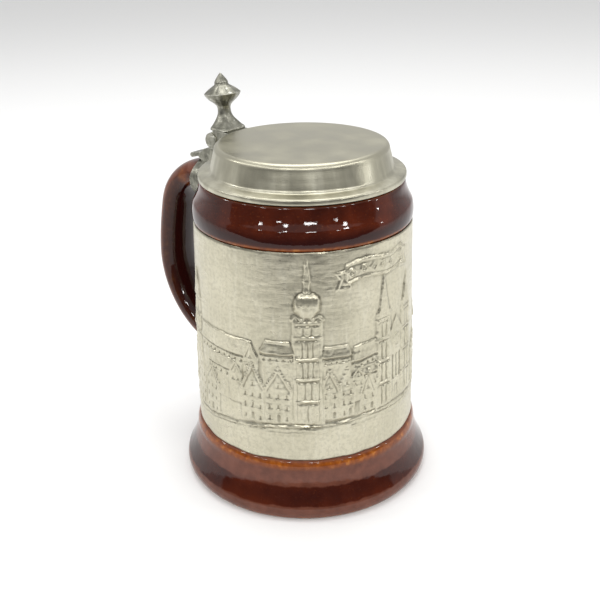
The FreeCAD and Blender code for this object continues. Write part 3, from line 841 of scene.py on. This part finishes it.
def draw_long_house(relief, s_low, s_high, eave, ridge, inset_low, inset_high, wall, tilt=0.0):
    """A long house behind the row: a leaning roof plane under a bright ridge, over a wall with
    a row of windows. An inset brings the ridge's end in from the eave's, and tilt raises the
    right end."""
    left, right = (s_low, eave), (s_high, eave + tilt)
    top_left, top_right = (s_low + inset_low, ridge), (s_high - inset_high, ridge + tilt)
    near, far = s_low + 0.8, s_high - 0.8
    relief.plate([(near, wall), (far, wall), (far, eave + tilt), (near, eave)], 0.2)
    for edge in (near, far):
        relief.line(upright(edge, wall, eave), 0.34, 0.16)
    relief.plate([left, right, top_right, top_left], 0.75, top=0.2)
    relief.line([top_left, top_right], 0.32, 0.36)
    for side in ([left, top_left], [right, top_right]):
        relief.line(side, 0.28, 0.22)
    relief.line([left, right], 0.34, 0.26)
    relief.groove([(s_low, eave - 0.8), (s_high, eave + tilt - 0.8)], 0.34, 0.3)
    windows = max(2, int((s_high - s_low) / 2.4))
    for k in range(windows):
        share = (k + 0.5) / windows
        centre = s_low + (s_high - s_low) * share
        relief.opening(centre, eave + tilt * share - 3.2, 0.5, 1.3, depth=0.28)


def draw_corner_house(relief, s, half, turn, length, eave, rise, wall):
    """A house seen from its corner: a gable end, and a long side that goes off to the left for
    turn -1 or to the right for turn 1."""
    near, far, ridge = s + turn * half, s + turn * length, eave + rise
    relief.plate([(near, wall), (far, wall), (far, eave), (near, eave)], 0.2)
    relief.plate([(near, eave), (far, eave), (far, ridge), (s, ridge)], 0.8, top=0.2)
    relief.line([(s, ridge), (far, ridge)], 0.32, 0.36)
    relief.line([(near, eave), (far, eave)], 0.3, 0.24)
    relief.groove([(near, eave - 0.7), (far, eave - 0.7)], 0.32, 0.26)
    columns = max(2, int((length - half) / 3.0))
    for k in range(columns):
        centre = near + (far - near) * (k + 0.5) / columns
        relief.opening(centre, eave - 3.4, 0.55, 1.5, depth=0.28)
        relief.line(upright(centre + 1.4, wall, eave - 1), 0.3, 0.16)
    relief.shape(gable_end(s, half, wall, eave, ridge), 0.42, 0.3, 0.32)
    for side in (-1, 1):
        relief.groove([(s + side * (half - 0.9), eave), (s, ridge - 1.3)], 0.26, 0.22)
    relief.opening(s, eave - 0.6, 0.5, 1.5, arched=True)
    for side in (-1, 1):
        relief.opening(s + side * half * 0.48, eave - 4.2, 0.5, 1.5)


def draw_tree(relief, s, z, size, dice):
    """A round crown of leaves on a trunk."""
    for _ in range(22):
        angle, away = dice.uniform(0, 2 * math.pi), size * math.sqrt(dice.uniform(0, 1))
        leaf_s, leaf_z = s + away * math.cos(angle), z + size + 0.9 * away * math.sin(angle)
        relief.dot(leaf_s, leaf_z, size * 0.34, 0.55)
    relief.line(upright(s, ground_height(s) + 0.6, z + 0.4), 0.5, 0.3)


def draw_church(relief, s):
    """A twin-spired church front: two ribbed towers and a nave with a round window."""
    relief.shape(gable_end(s, 4.2, 43.5, 74.0, 81.0), 0.3, 0.26)
    relief.line(arc_run(s, 70.0, 2.5, 0, 360, 22), 0.34, 0.4)
    for rim in arc_run(s, 70.0, 2.3, 0, 315, 8):
        relief.line([(s, 70.0), rim], 0.18, 0.2)
    for offset in (-2.5, 0.0, 2.5):
        relief.opening(s + offset, 53.0, 0.7, 10.5, arched=True, depth=0.3)
    relief.opening(s, 43.6, 1.7, 5.2, arched=True, depth=0.34)
    stages = ((54.0, 3.9, 3), (64.0, 3.7, 3), (73.5, 3.5, 3), (82.0, 3.3, 3))
    for centre, top in ((s - 8.2, 100.0), (s + 8.2, 97.5)):
        draw_tower(relief, centre, 43.0, stages, 0.5)
        for edge in (-1, 1):
            relief.line([(centre + edge * 4.1, 43.0), (centre + edge * 3.5, 83.5)], 0.6, 0.5)
            relief.dot(centre + edge * 3.4, 84.6, 0.7, 0.55)
        draw_spire(relief, centre, 82.6, top, 3.0, 3)
        for edge in (-1, 1):
            foot, tip = (centre + edge * 2.9, 83.6), (centre + edge * 0.4, top - 1.5)
            relief.beads(foot, tip, 2.3, 0.5, 0.4)


def draw_ribbon(relief, s_low, s_high, middle, half=3.6):
    """A blank fluttering ribbon with forked ends and a row of plain ornaments."""
    s_run = np.linspace(s_low, s_high, 80)
    share = (s_run - s_low) / (s_high - s_low)
    wave = middle + 1.2 * np.sin(share * 2 * math.pi) + 2.4 * share
    upper, lower = (list(zip(s_run, wave + side)) for side in (half, -half))
    fork = ((-1.5, half), (4.0, half - 0.6), (2.2, -0.2), (4.0, -half - 0.4), (-1.5, 0.2 - half))
    for s, z, side in ((s_low, wave[0] - 1.6, -1), (s_high, wave[-1] - 1.6, 1)):
        relief.shape([(s + side * out, z + up) for out, up in fork], 0.18, 0.3)
    relief.plate(upper + lower[::-1], 0.3)
    for edge in (upper, lower, [upper[0], lower[0]], [upper[-1], lower[-1]]):
        relief.line(edge, 0.4, 0.42)
    for edge, inset in ((upper, -1.1), (lower, 1.1)):
        relief.groove([(s, z + inset) for s, z in edge], 0.24, 0.2)
    count = max(3, int((s_high - s_low) / 4.4))
    for k in range(count):
        place = int((k + 0.5) * len(s_run) / count)
        s, z = s_run[place], wave[place]
        if k % 2:
            relief.line(arc_run(s, z, 1.35, 0, 360, 14), 0.3, 0.38)
            relief.dot(s, z, 0.55, 0.4)
        else:
            relief.line([(s - 1.7, z), (s, z + 1.7), (s + 1.7, z), (s, z - 1.7)], 0.3, 0.38, True)
            relief.dot(s, z, 0.5, 0.4)


def draw_street(relief, dice):
    """The street's edge and broken, wavy furrows under it."""
    s_left, s_right = relief.s[0], relief.s[-1]
    street = np.linspace(s_left + 1, s_right - 1, 160)
    furrows = ((2.6, 0.36, 0.3), (0.4, 0.5, 0.42), (-1.0, 0.3, 0.2), (-2.3, 0.4, 0.26))
    for drop, width, height in furrows:
        phase = dice.uniform(0, 6)
        run = [(s, ground_height(s) + drop + 0.35 * math.sin(s / 5.3 + phase)) for s in street]
        relief.line(run, width, height)
    for drop in (1.5, -0.4):
        relief.groove([(s, ground_height(s) + drop) for s in street], 0.36, 0.24)
    for s in np.arange(s_left + 3, s_right - 6, 2.6):
        z = ground_height(s) + dice.uniform(-3.4, 2.2)
        lift = dice.uniform(-0.5, 0.5)
        relief.line([(s, z), (s + dice.uniform(1.5, 5.0), z + lift)], 0.28, 0.22)


# long houses: left end, right end, eave, ridge, both insets, wall's foot and tilt
FAR_HOUSES = (
    (66.0, 84.0, 70.0, 75.5, 2.0, 2.0, 55.0),
    (103.0, 121.0, 69.0, 75.0, 2.0, 2.0, 55.0),
    (124.0, 138.0, 67.5, 72.5, 2.0, 2.0, 55.0),
    (-84.0, -66.0, 69.0, 74.5, 2.0, 2.0, 55.0),
)
NEAR_HOUSES = (
    (-18.6, -5.6, 72.6, 77.6, 2.1, 1.4, 52.0),
    (5.6, 17.6, 71.0, 75.2, 1.0, 1.9, 52.0),
    (18.0, 31.5, 67.6, 73.4, 0.6, 0.4, 52.0, 1.6),
)
# tower stages, from the lowest: top, half width, columns
GATE_STAGES = ((70.0, 4.2, 3), (78.0, 4.0, 3), (85.0, 3.8, 3))
TOWER_STAGES = ((52.4, 3.8, 2), (62.0, 3.8, 3), (70.8, 4.0, 4), (80.0, 4.2, 4), (86.2, 4.5, 3))
# houses with their gables to the street: middle, half width, eave, peak, kind
FRONT_HOUSES = (
    (-56.0, 5.0, 53.5, 61.0, "plain"),
    (-45.6, 4.6, 52.5, 59.0, "beaded"),
    (-22.6, 4.9, 56.4, 66.0, "beaded"),
    (-11.8, 5.2, 56.8, 65.6, "beaded"),
    (8.4, 3.9, 56.4, 64.6, "beaded"),
    (15.6, 2.9, 56.8, 64.4, "stepped"),
    (25.2, 3.6, 53.0, 61.4, "beaded"),
)
KINDS = ("plain", "stepped", "beaded", "rosette")
# trees: place and size
TREES = ((54.6, 2.4), (88.0, 2.6), (98.5, 2.8), (141.0, 3.2), (-64.0, 3.0), (-88.0, 3.2))


def draw_tall_tower(relief):
    """The onion-domed tower in the middle of the view, with its lantern and spire."""
    for low, high, half in ((42.0, 88.0, 5.7), (42.0, 70.0, 6.3)):
        relief.shape(box(0, half, low, high), 0.26, 0.12)
    for s in (-4.9, 5.0):
        relief.line(upright(s, 43.0, 85.5), 0.5, 0.3)
    draw_tower(relief, 0.0, 42.0, TOWER_STAGES, 0.55)
    draw_onion(relief, 0.0, 88.6, 99.4, 4.9)
    relief.shape(box(0, 0.8, 98.4, 102.8), 0.4, 0.3, 0.26)
    relief.line(level(0, 1.3, 98.6), 0.36, 0.4)
    relief.line(level(0, 1.2, 102.9), 0.3, 0.36)
    draw_spire(relief, 0.0, 103.1, 111.6, 0.85, 0, 0.35)


def draw_row(relief, low, high, dice):
    """Houses of all kinds, side by side from low to high."""
    s = low
    while s < high - 5.0:
        half = dice.uniform(3.6, 5.6)
        if s + 2 * half > high:
            break
        eave = dice.uniform(53.0, 59.0)
        peak = eave + dice.uniform(5.5, 8.0)
        draw_house(relief, s + half, half, eave, peak, KINDS[dice.integers(len(KINDS))], dice)
        s += 2 * half + dice.uniform(0.4, 1.2)


def draw_town(relief, dice):
    """A generic old town: a tall onion-domed tower among gabled houses, long roofs behind,
    a twin-spired church to the right, and houses and trees on round to the handle."""
    draw_street(relief, dice)
    for house in FAR_HOUSES:
        draw_long_house(relief, *house)
    for s in (93.0, -59.5):
        draw_tower(relief, s, 58.0, GATE_STAGES, 0.32)
        draw_spire(relief, s, 85.4, 97.0, 4.0, 2)
    draw_corner_house(relief, -23.2, 2.9, -1, 30.0, 69.6, 6.6, 52.0)
    for house in NEAR_HOUSES:
        draw_long_house(relief, *house)
    draw_corner_house(relief, 20.4, 2.6, 1, 11.5, 61.0, 3.6, 50.0)
    draw_corner_house(relief, -30.6, 2.8, -1, 17.0, 61.6, 4.6, 48.0)
    draw_church(relief, 41.6)
    for house in FRONT_HOUSES:
        draw_house(relief, *house, dice)
    draw_tall_tower(relief)
    draw_row(relief, relief.s[0] + 3.0, -64.5, dice)
    draw_row(relief, 58.0, relief.s[-1] - 3.0, dice)
    for s, size in TREES:
        draw_tree(relief, s, ground_height(s) + 6.5, size, dice)
    draw_ribbon(relief, 15.6, 45.0, 104.0)
    draw_ribbon(relief, 102.0, 132.0, 99.0)


def roughened(raised, dice):
    """The drawn heights on a sheet that is a little wavy and brushed, and lumpy where it is
    modelled."""
    shape = raised.shape
    waves = 0.045 * soft_noise(dice, shape, 5.0, 5.0)
    brushed = 0.009 * soft_noise(dice, shape, 0.7, 4.0)
    lumps = 0.03 * soft_noise(dice, shape, 1.1, 0.8) * np.clip(blurred(raised, 1.0) / 0.2, 0.2, 1)
    return raised + waves + brushed + lumps


def make_relief_band(pewter):
    """The pewter sheet with its relief raised out of it: closed, a millimetre thick."""
    half_turn = 180.0 - BAND_HALF_OPENING
    s_low, s_high = along_band(-half_turn), along_band(half_turn)
    relief = Relief(s_low, s_high, BAND_BOTTOM[1], BAND_TOP[1])
    dice = np.random.default_rng(RELIEF_SEED)
    draw_town(relief, dice)
    raised, sunk = relief.heights(dice)
    raised = roughened(raised, dice)

    # rows lie closer together where the town is, and round the spire
    density = 0.6 + hump(relief.z, 62.0, 34.0) + 0.4 * hump(relief.z, 98.0, 20.0)
    share = np.concatenate([[0], np.cumsum(density[:-1])])
    z_rows = np.interp(np.linspace(0, share[-1], BAND_ROWS), share, relief.z)
    z_rows[-1] = BAND_TOP[1]
    s_columns = np.linspace(s_low, s_high, BAND_COLUMNS)
    z_index, s_index = (z_rows - relief.z[0]) / CELL, (s_columns - relief.s[0]) / CELL
    grid = np.meshgrid(z_index, s_index, indexing="ij")

    slope = (BAND_TOP[0] - BAND_BOTTOM[0]) / (BAND_TOP[1] - BAND_BOTTOM[1])
    wall = BAND_BOTTOM[0] + slope * (z_rows - BAND_BOTTOM[1])
    edge = np.minimum(z_rows - BAND_BOTTOM[1], BAND_TOP[1] - z_rows)
    rolled = 0.25 * (1 - np.clip(edge / 0.5, 0, 1)) ** 2
    angles = np.radians(TOWER_ANGLE) + s_columns / UNROLLED_RADIUS
    front = wall[:, None] - rolled[:, None] + sampled(raised, *grid)
    back_wall = np.array([BAND_TOP[0], BAND_BOTTOM[0]]) - BAND_THICKNESS
    radii = np.concatenate([front, np.repeat(back_wall[:, None], BAND_COLUMNS, 1)])
    heights = np.concatenate([z_rows, [BAND_TOP[1], BAND_BOTTOM[1]]])
    points = round_points(radii, angles, heights)
    made = grid_mesh("relief_sheet", points.transpose(1, 0, 2))
    obj = new_piece("relief_sheet", made, "mug", "relief_band", sharp_angle=50)
    depth = np.zeros((len(heights), BAND_COLUMNS))
    # painted shadow: the sheet darkens within 0.8 mm of its top and bottom edges, carried by the
    # tarnish attribute
    rim = np.clip(1 - edge / 0.8, 0, 1)
    depth[:BAND_ROWS] = np.maximum(sampled(sunk, *grid), 0.24 * rim[:, None])
    tarnish, polish = np.clip(depth / 0.22, 0, 1), np.clip(-depth / 0.3, 0, 1)
    mark(obj, tarnish=tarnish.T.reshape(-1), polish=polish.T.reshape(-1))
    obj.data.materials.append(pewter)


# ---- the lid


def make_lid(pewter):
    section = [
        (41.55, 131.0, 0.45, 1),
        (42.0, 131.45),
        (42.0, 132.95, 0.45, 1),
        (41.55, 133.4),
        (38.4, 134.15, 1.5, -1),
        (36.9, 135.65),
        (35.2, 142.2, 2.3, 1),
        (32.9, 144.5),
        (0, 145.0),
        (0, 143.2),
        (32.9, 142.7),
        (33.4, 141.3),
        (35.1, 131.0),
    ]
    made = lathe("lid_spun", softened(outline(section), 1), LID_SEGMENTS)
    obj = new_piece("lid_spun", made, "lid_assembly", "lid", sharp_angle=50)
    obj.data.materials.append(pewter)


# ---- the castings round the hinge

# the thumblift stands on the tang and leans outwards; its rings go up its own centre line
THUMB_FOOT = Vector((-43.1, 0.0, 143.4))
THUMB_LEAN = math.radians(5.5)
THUMB_LOBES = 8
THUMB_STEPS = 150
THUMB_SEGMENTS = 128
# a casting is rebuilt in cells of this size and worn down in so many passes
CAST_CELL = 0.2
CAST_PASSES = 6
# the foot's rings: height up the centre line, inward shift, half depth, half width, squareness
# and lobe depth
THUMB_FOOT_RINGS = (
    (0.0, 1.0, 4.3, 6.6, 7.0, 0.0),
    (0.3, 1.0, 4.5, 6.9, 8.0, 0.0),
    (0.9, 0.9, 4.4, 6.7, 8.0, 0.0),
    (1.8, 0.6, 3.95, 5.9, 6.0, 0.0),
    (2.9, 0.4, 3.5, 5.0, 5.0, 0.01),
    (4.0, 0.2, 3.1, 4.15, 4.0, 0.02),
    (5.4, 0.0, 2.8, 3.25, 3.0, 0.03),
    (7.0, 0.0, 2.65, 2.75, 2.4, 0.03),
)
# the round rings above them: height up the centre line, radius, lobe depth
THUMB_ROUND_RINGS = (
    (8.6, 2.75, 0.03),
    (9.8, 3.05, 0.03),
    (11.0, 4.1, 0.04),
    (12.4, 5.8, 0.05),
    (13.8, 7.1, 0.05),
    (14.7, 7.6, 0.04),
    (15.05, 7.75, 0.03),
    (15.5, 7.35, 0.06),
    (16.4, 6.3, 0.09),
    (17.4, 4.9, 0.07),
    (18.1, 3.7, 0.03),
    (18.6, 3.05, 0.02),
    (19.0, 2.9, 0.04),
    (19.6, 2.85, 0.06),
    (20.5, 2.4, 0.06),
    (21.6, 1.65, 0.02),
    (22.6, 0.85, 0.0),
    (23.2, 0.3, 0.0),
    (23.4, 0.02, 0.0),
)


def smooth_table(table, at):
    """Each column of a table read at in-between places, without overshooting its rows."""
    rows = np.array(table)
    keys, values = rows[:, 0], rows[:, 1:]
    steps = np.diff(keys)
    slopes = np.diff(values, axis=0) / steps[:, None]
    tangents = np.zeros_like(values)
    before, after = slopes[:-1], slopes[1:]
    same_way = before * after > 0
    mean = 2 * before * after / np.where(same_way, before + after, 1)
    tangents[1:-1] = np.where(same_way, mean, 0)
    span = np.clip(np.searchsorted(keys, at, side="right") - 1, 0, len(steps) - 1)
    t = ((at - keys[span]) / steps[span])[:, None]
    width = steps[span][:, None]
    return (
        (2 * t**3 - 3 * t**2 + 1) * values[span]
        + (t**3 - 2 * t**2 + t) * width * tangents[span]
        + (3 * t**2 - 2 * t**3) * values[span + 1]
        + (t**3 - t**2) * width * tangents[span + 1]
    )


def make_thumblift(pewter):
    """Square foot, hollow flare, fluted neck, lobed bulb with a sharp rim, and a bud."""
    table = [*THUMB_FOOT_RINGS]
    table += [(up, 0.0, radius, radius, 2.0, lobe) for up, radius, lobe in THUMB_ROUND_RINGS]
    steps = np.linspace(0, table[-1][0], THUMB_STEPS)
    heights = np.unique(np.concatenate([steps, [row[0] for row in table]]))
    shift, depth, width, square, lobe = smooth_table(table, heights).T[:, :, None]
    angles = full_turn(THUMB_SEGMENTS)[None, :]
    cos, sin = np.cos(angles), np.sin(angles)
    radius = (np.abs(cos) ** square + np.abs(sin) ** square) ** (-1 / square)
    radius = radius * (1 - lobe * (1 - np.abs(np.cos(THUMB_LOBES / 2 * angles)) ** 0.7))
    along = depth * radius * cos + shift
    tilt = THUMB_LEAN * np.clip((heights - 2.0) / 7.0, 0, 1)[:, None]
    up = heights[:, None]
    points = joined(
        THUMB_FOOT.x - math.sin(THUMB_LEAN) * up + np.cos(tilt) * along,
        width * radius * sin,
        THUMB_FOOT.z + math.cos(THUMB_LEAN) * up + np.sin(tilt) * along,
    )
    made = grid_mesh("thumblift_cast", points)
    obj = new_piece("thumblift_cast", made, "lid_assembly", "thumblift", sharp_angle=55)
    obj.data.materials.append(pewter)


def cast_copy(node, name, body, pewter, warp=None):
    """A piece with its node's shape and the soft edges of a casting: the node's mesh is
    rebuilt in small cells and its corners are worn round."""
    mesh_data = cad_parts[node].data.copy()
    mesh_data.name = name
    mesh_data.materials.clear()
    obj = new_piece(name, mesh_data, body, node)
    rebuilt = obj.modifiers.new("rebuilt", "REMESH")
    rebuilt.mode = "VOXEL"
    rebuilt.voxel_size = CAST_CELL * MM
    worn = obj.modifiers.new("worn", "SMOOTH")
    worn.factor = 0.5
    worn.iterations = CAST_PASSES
    bpy.context.view_layer.update()
    seen = obj.evaluated_get(bpy.context.evaluated_depsgraph_get())
    obj.data = bpy.data.meshes.new_from_object(seen)
    obj.modifiers.clear()
    if warp:
        obj.data.vertices.foreach_set("co", (warp(places(obj)) * MM).reshape(-1))
    shade_smooth(obj.data)
    obj.data.materials.append(pewter)


def collar_warp(at):
    """Slant the collar's outer end, so that it reaches further along under the handle, and
    thicken its underside."""
    x, y, z = at.T
    out = np.clip((-50.0 - x) / 7.0, 0, 1)
    low = np.clip((129.0 - z) / 2.0, 0, 1)
    outside = np.clip((np.hypot(y / 10.3, (z - 121.1) / 8.1) - 0.86) / 0.1, 0, 1)
    x = x + 0.17 * (z - 121.0) * out * low
    z = z - 2.0 * outside * np.clip((121.0 - z) / 8.0, 0, 1)
    return joined(x, y, z)


# ---- stage

# the camera: its azimuth round the mug from -Y, its place in millimetres, its turns in degrees,
# its lens and sensor in millimetres
CAMERA_AZIMUTH = 42.0
CAMERA_DISTANCE = 359.5
CAMERA_HEIGHT = 235.6
CAMERA_PITCH = 24.02
CAMERA_YAW = -0.278
CAMERA_ROLL = -1.015
CAMERA_LENS = 55.07
SENSOR_WIDTH = 36.0

# the strength of the white walls' light, the floor's colour and its half width in metres
WALL_LIGHT = 0.72
FLOOR_COLOUR = (0.85, 0.85, 0.845, 1)
FLOOR_HALF = 12.0

# lights face the mug at this height in millimetres. The overhead one: azimuth from the camera,
# elevation, distance, width and height in metres, power in watts
AIM_HEIGHT = 75
OVERHEAD = (180, 74, 1.1, 0.9, 0.9, 7.2)
# small lamps, all at one distance: azimuth from the camera, elevation, width, height, power
LAMP_DISTANCE = 1.3
LAMPS = (
    (-96, 30, 0.08, 0.1, 1.3),
    (-72, 36, 0.06, 0.12, 1.1),
    (-44, 28, 0.07, 0.08, 0.9),
    (-19, 33, 0.08, 0.12, 1.5),
    (8, 29, 0.22, 0.07, 2.2),
    (84, 10, 0.06, 0.06, 0.7),
    (46, 30, 0.08, 0.1, 1.2),
    (60, 36, 0.05, 0.08, 0.9),
    (82, 33, 0.08, 0.1, 1.3),
    (-24, 25, 0.06, 0.06, 0.5),
    (-57, 39, 0.04, 0.06, 0.4),
    (29, 40, 0.05, 0.05, 0.4),
    (35, 25, 0.06, 0.05, 0.4),
)
# two dark cards towards the camera, in metres: one lies on the floor from CARD_NEAR to
# CARD_FAR, and one stands round the far edge, up to CARD_SWEEP degrees to either side
CARD_NEAR = 0.29
CARD_FAR = 1.5
CARD_HALF_WIDTH = 1.45
CARD_SWEEP = 80
CARD_STEP = 5
CARD_HEIGHT = 0.95
LYING_SHADE = 0.05
STANDING_SHADE = 0.13


def make_camera():
    """A camera that looks slightly down on the stein, with the handle at the left."""
    data = bpy.data.cameras.new("camera")
    data.lens = CAMERA_LENS
    data.sensor_width = SENSOR_WIDTH
    data.clip_start = 0.01
    camera = put("camera", data)
    turns = (CAMERA_AZIMUTH, "Z"), (-CAMERA_YAW, "Z"), (90 - CAMERA_PITCH, "X"), (CAMERA_ROLL, "Z")
    turn, swing, tilt, roll = (Matrix.Rotation(math.radians(a), 4, axis) for a, axis in turns)
    place = Matrix.Translation(Vector((0, -CAMERA_DISTANCE, CAMERA_HEIGHT)) * MM)
    camera.matrix_world = turn @ place @ swing @ tilt @ roll
    bpy.context.scene.camera = camera


def area_light(name, azimuth, elevation, distance, width, height, power):
    """A soft light that faces the middle of the mug."""
    data = bpy.data.lights.new(name, "AREA")
    data.shape = "RECTANGLE"
    data.size = width
    data.size_y = height
    data.energy = power
    lamp = put(name, data)
    angle = math.radians(CAMERA_AZIMUTH + azimuth - 90)
    rise = math.radians(elevation)
    aim = Vector((0, 0, AIM_HEIGHT * MM))
    direction = Vector(
        (math.cos(angle) * math.cos(rise), math.sin(angle) * math.cos(rise), math.sin(rise))
    )
    lamp.location = aim + direction * distance
    lamp.rotation_euler = (-direction).to_track_quat("-Z", "Y").to_euler()


def stage_sheet(name, corners, faces, material_name, colour, roughness):
    """A plain surface of the studio."""
    sheet_mesh = bpy.data.meshes.new(name)
    sheet_mesh.from_pydata(corners, [], faces)
    sheet = put(name, sheet_mesh)
    paint = Material(material_name, Base_Color=colour, Roughness=roughness)
    sheet_mesh.materials.append(paint.data)
    return sheet


def make_floor():
    half = FLOOR_HALF
    corners = [(-half, -half, 0), (half, -half, 0), (half, half, 0), (-half, half, 0)]
    stage_sheet("floor", corners, [(0, 1, 2, 3)], "pale_paper", FLOOR_COLOUR, 0.8)


def dark_card(name, shade, corners, faces):
    """A dark card that only reflections see, as a stand-in for the unlit room."""
    card = stage_sheet(name, corners, faces, name, (shade, shade, shade, 1), 0.9)
    card.rotation_euler = (0, 0, math.radians(CAMERA_AZIMUTH))
    card.visible_camera = False
    card.visible_diffuse = False
    card.visible_shadow = False


def make_cards():
    lying = [(-CARD_HALF_WIDTH, -away, MM) for away in (CARD_NEAR, CARD_FAR)]
    lying += [(CARD_HALF_WIDTH, -away, MM) for away in (CARD_FAR, CARD_NEAR)]
    dark_card("lying_card", LYING_SHADE, lying, [(0, 1, 2, 3)])
    angles = np.radians(np.arange(-CARD_SWEEP, CARD_SWEEP + 1, CARD_STEP))
    foot = [(CARD_FAR * math.sin(a), -CARD_FAR * math.cos(a), 0) for a in angles]
    standing = foot + [(x, y, CARD_HEIGHT) for x, y, _ in foot]
    count = len(foot)
    faces = [(k, k + 1, count + k + 1, count + k) for k in range(count - 1)]
    dark_card("standing_card", STANDING_SHADE, standing, faces)


def make_walls():
    """White walls all round."""
    world = bpy.data.worlds.new("studio")
    bpy.context.scene.world = world
    world.use_nodes = True
    background = world.node_tree.nodes["Background"]
    background.inputs["Color"].default_value = (1, 1, 1, 1)
    background.inputs["Strength"].default_value = WALL_LIGHT


def make_stage():
    make_floor()
    make_cards()
    make_walls()
    area_light("overhead", *OVERHEAD)
    for number, (azimuth, elevation, *size_and_power) in enumerate(LAMPS, 1):
        area_light(f"lamp_{number}", azimuth, elevation, LAMP_DISTANCE, *size_and_power)


def main():
    bpy.context.scene.view_settings.view_transform = "Standard"
    glaze = glaze_material()
    relief = relief_pewter_material()
    spun = turned_pewter_material()
    cast = cast_pewter_material()
    steel = pin_steel_material()
    make_stoneware(glaze)
    make_handle(glaze)
    make_relief_band(relief)
    make_lid(spun)
    make_thumblift(cast)
    cast_copy("handle_strap", "strap_cast", "mug", cast, collar_warp)
    cast_copy("lid_tang", "tang_cast", "lid_assembly", cast)
    for node, look in (("hinge_pin", steel), ("hinge_caps", cast)):
        mesh_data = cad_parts[node].data
        mesh_data.materials.clear()
        mesh_data.materials.append(look)
    make_camera()
    make_stage()


main()
